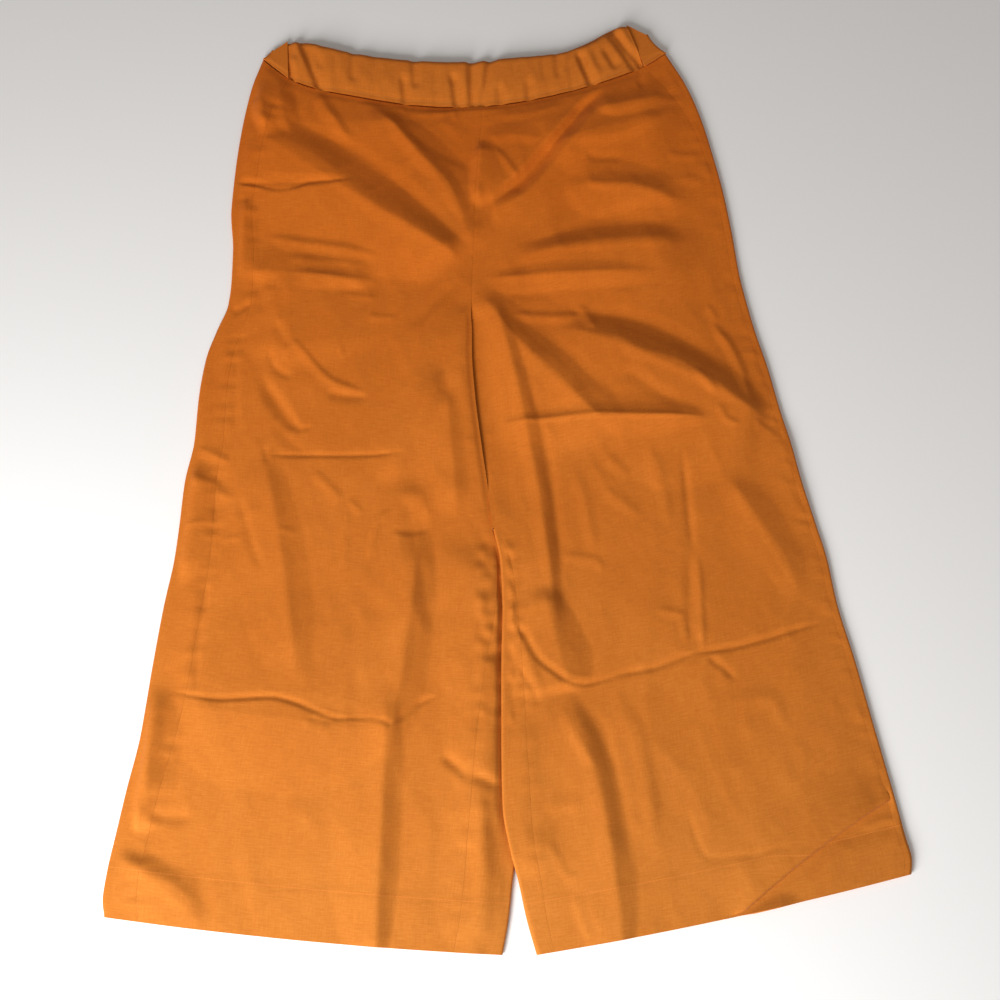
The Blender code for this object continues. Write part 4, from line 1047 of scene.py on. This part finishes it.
def cottonMaterial(name, stitchAt, upperShadeTint):
    # a plain weave of thicker and thinner threads, with one line of stitches at a distance from an edge, and
    # painted light and shade: a tint deeper towards the waist and paler towards the hem
    material = bpy.data.materials.new(name)
    material.use_nodes = True
    nodes = material.node_tree.nodes

    def node(kind, values, output, **settings):
        made = nodes.new("ShaderNode" + kind)
        for setting, value in settings.items():
            setattr(made, setting, value)
        fill(made, values)
        return made.outputs[output]

    def compute(operation, first, second=0):
        return node("Math", {0: first, 1: second}, "Value", operation=operation)

    def weighted(*parts):
        # the sum of each value times its weight
        total, *others = (compute("MULTIPLY", value, weight) for value, weight in parts)
        for part in others:
            total = compute("ADD", total, part)
        return total

    def mix(share, first, second, kind="MIX"):
        values = {"Factor": share, "A": first, "B": second}
        return node("Mix", values, "Result", data_type="RGBA", blend_type=kind)

    def noise(scaleU, scaleV, detail):
        place = node("Mapping", {"Vector": weave, "Scale": (scaleU, scaleV, 1)}, "Vector")
        return node("TexNoise", {"Scale": 1, "Detail": detail, "Vector": place}, "Fac")

    def threads(direction):
        values = {**cotton["threads"], "Scale": cotton["threadsPerMetre"] * math.pi / 10, "Vector": weave}
        return node("TexWave", values, "Fac", wave_type="BANDS", bands_direction=direction)

    weave = node("UVMap", {}, "UV", uv_map="weave")
    noises = [noise(*kind) for kind in cotton["noises"]]
    colour = node("ValToRGB", {"Fac": weighted(*zip(noises, cotton["shade"]))}, "Color")
    stops = colour.node.color_ramp.elements
    stops.new(0.5)
    for stop, (place, tone) in zip(stops, cotton["shades"]):
        stop.position, stop.color = place, tone

    # painted light and shade: a tint by height up the garment, deeper towards the waist and paler towards the
    # hem, multiplied into the colour
    split = node("SeparateXYZ", {"Vector": node("TexCoord", {}, "Object")}, "Y")
    lower = {"From Min": cotton["tintFrom"], "From Max": cotton["tintTo"], "Value": split}
    tint = mix(node("MapRange", lower, "Result"), upperShadeTint, cotton["hemLightTint"])
    paintedLightCloth = mix(1, colour, tint, "MULTIPLY")

    edge = node("Attribute", {}, "Fac", attribute_name="edgeDistance")
    offLine = compute("ABSOLUTE", compute("SUBTRACT", edge, stitchAt))
    onLine = compute("LESS_THAN", offLine, cotton["stitchWidth"])
    along = node("SeparateXYZ", {"Vector": weave}, "X")
    beat = compute("FRACT", compute("MULTIPLY", along, cotton["stitchesPerMetre"]))
    stitch = compute("MULTIPLY", onLine, compute("LESS_THAN", beat, cotton["stitchShare"]))
    sewn = mix(stitch, paintedLightCloth, cotton["threadColour"])

    cloth = compute("MULTIPLY", compute("ADD", threads("X"), threads("Y")), 0.5)
    relief = weighted(*zip((cloth, *noises[:2], stitch), cotton["relief"]))
    bump = node("Bump", {**cotton["bump"], "Height": relief}, "Normal")
    fill(nodes["Principled BSDF"], {**cotton["surface"], "Base Color": sewn, "Normal": bump})
    return material


hemStitch = (frontPanel["hemDepth"] - frontPanel["stitchInset"]) * mm
panelCotton = cottonMaterial("orangeCottonPanel", hemStitch, cotton["waistShadeTint"])
bandCotton = cottonMaterial("orangeCottonBand", cotton["bandStitch"], cotton["bandShadeTint"])
print("cotton: woven")

floorPlane = {"size": 6, "colour": (0.92, 0.92, 0.92, 1), "roughness": 0.9, "drop": 0.0002}
half = floorPlane["size"] / 2
floorMesh = bpy.data.meshes.new("paleFloor")
corners = [(-half, -half, 0), (half, -half, 0), (half, half, 0), (-half, half, 0)]
floorMesh.from_pydata(corners, [], [(0, 1, 2, 3)])
floor = bpy.data.objects.new("paleFloor", floorMesh)
floor.location.z = -floorPlane["drop"]
bpy.context.scene.collection.objects.link(floor)
floorPaint = bpy.data.materials.new("paleFloorPaint")
floorPaint.use_nodes = True
fill(floorPaint.node_tree.nodes["Principled BSDF"], {
    "Base Color": floorPlane["colour"], "Roughness": floorPlane["roughness"],
})
floorMesh.materials.append(floorPaint)

# Each piece's cloth, what it stands for, its cut as width and length, its flat area, and what it lies on
cuts = (
    (frontLeft, panelCotton, "front_left", (0.31, 0.83), 0.205, "back_left"),
    (frontRight, panelCotton, "front_right", (0.36, 0.83), 0.215, "back_right"),
    (backLeft, panelCotton, "back_left", (0.40, 0.83), 0.245, floor),
    (backRight, panelCotton, "back_right", (0.40, 0.83), 0.245, floor),
    (bandFront, bandCotton, "waistband_front", (0.38, 0.05), 0.018, "waistband_back"),
    (bandBack, bandCotton, "waistband_back", (0.44, 0.05), 0.021, floor),
)
for piece, cloth, node, flat, area, under in cuts:
    piece.data.materials.append(cloth)
    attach(piece, "root")
    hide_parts(node)

studio = {
    "target": (-0.00728, -0.05422, 0),
    "distance": 1.15,
    "elevation": 73,
    "lens": 47.23,
    "sensor": 36,
    "key": ((-0.69, -1.18, 0.67), 0.8, 34.5),  # place, size and watts
    "fill": ((0.9, -0.3, 1.9), 2.5, 6.5),
    "sky": {"Color": (1, 0.9, 0.8, 1), "Strength": 0.2},
}


def setUp(name, data, place, target):
    thing = bpy.data.objects.new(name, data)
    bpy.context.scene.collection.objects.link(thing)
    thing.location = place
    thing.rotation_euler = (Vector(target) - thing.location).to_track_quat("-Z", "Y").to_euler()
    return thing


def softLight(name, place, size, watts):
    lamp = bpy.data.lights.new(name, "AREA")
    lamp.shape, lamp.size, lamp.energy = "SQUARE", size, watts
    setUp(name, lamp, place, (0, 0, 0))


lens = bpy.data.cameras.new("camera")
lens.lens, lens.sensor_width = studio["lens"], studio["sensor"]
targetX, targetY, targetZ = studio["target"]
elevation = math.radians(studio["elevation"])
back, up = studio["distance"] * math.cos(elevation), studio["distance"] * math.sin(elevation)
bpy.context.scene.camera = setUp("camera", lens, (targetX, targetY - back, targetZ + up), studio["target"])
softLight("windowLight", *studio["key"])
softLight("fillLight", *studio["fill"])
world = bpy.data.worlds.new("studioSky")
world.use_nodes = True
fill(world.node_tree.nodes["Background"], studio["sky"])
bpy.context.scene.world = world
bpy.context.scene.view_settings.view_transform = "Standard"
print("studio: camera and lights set")
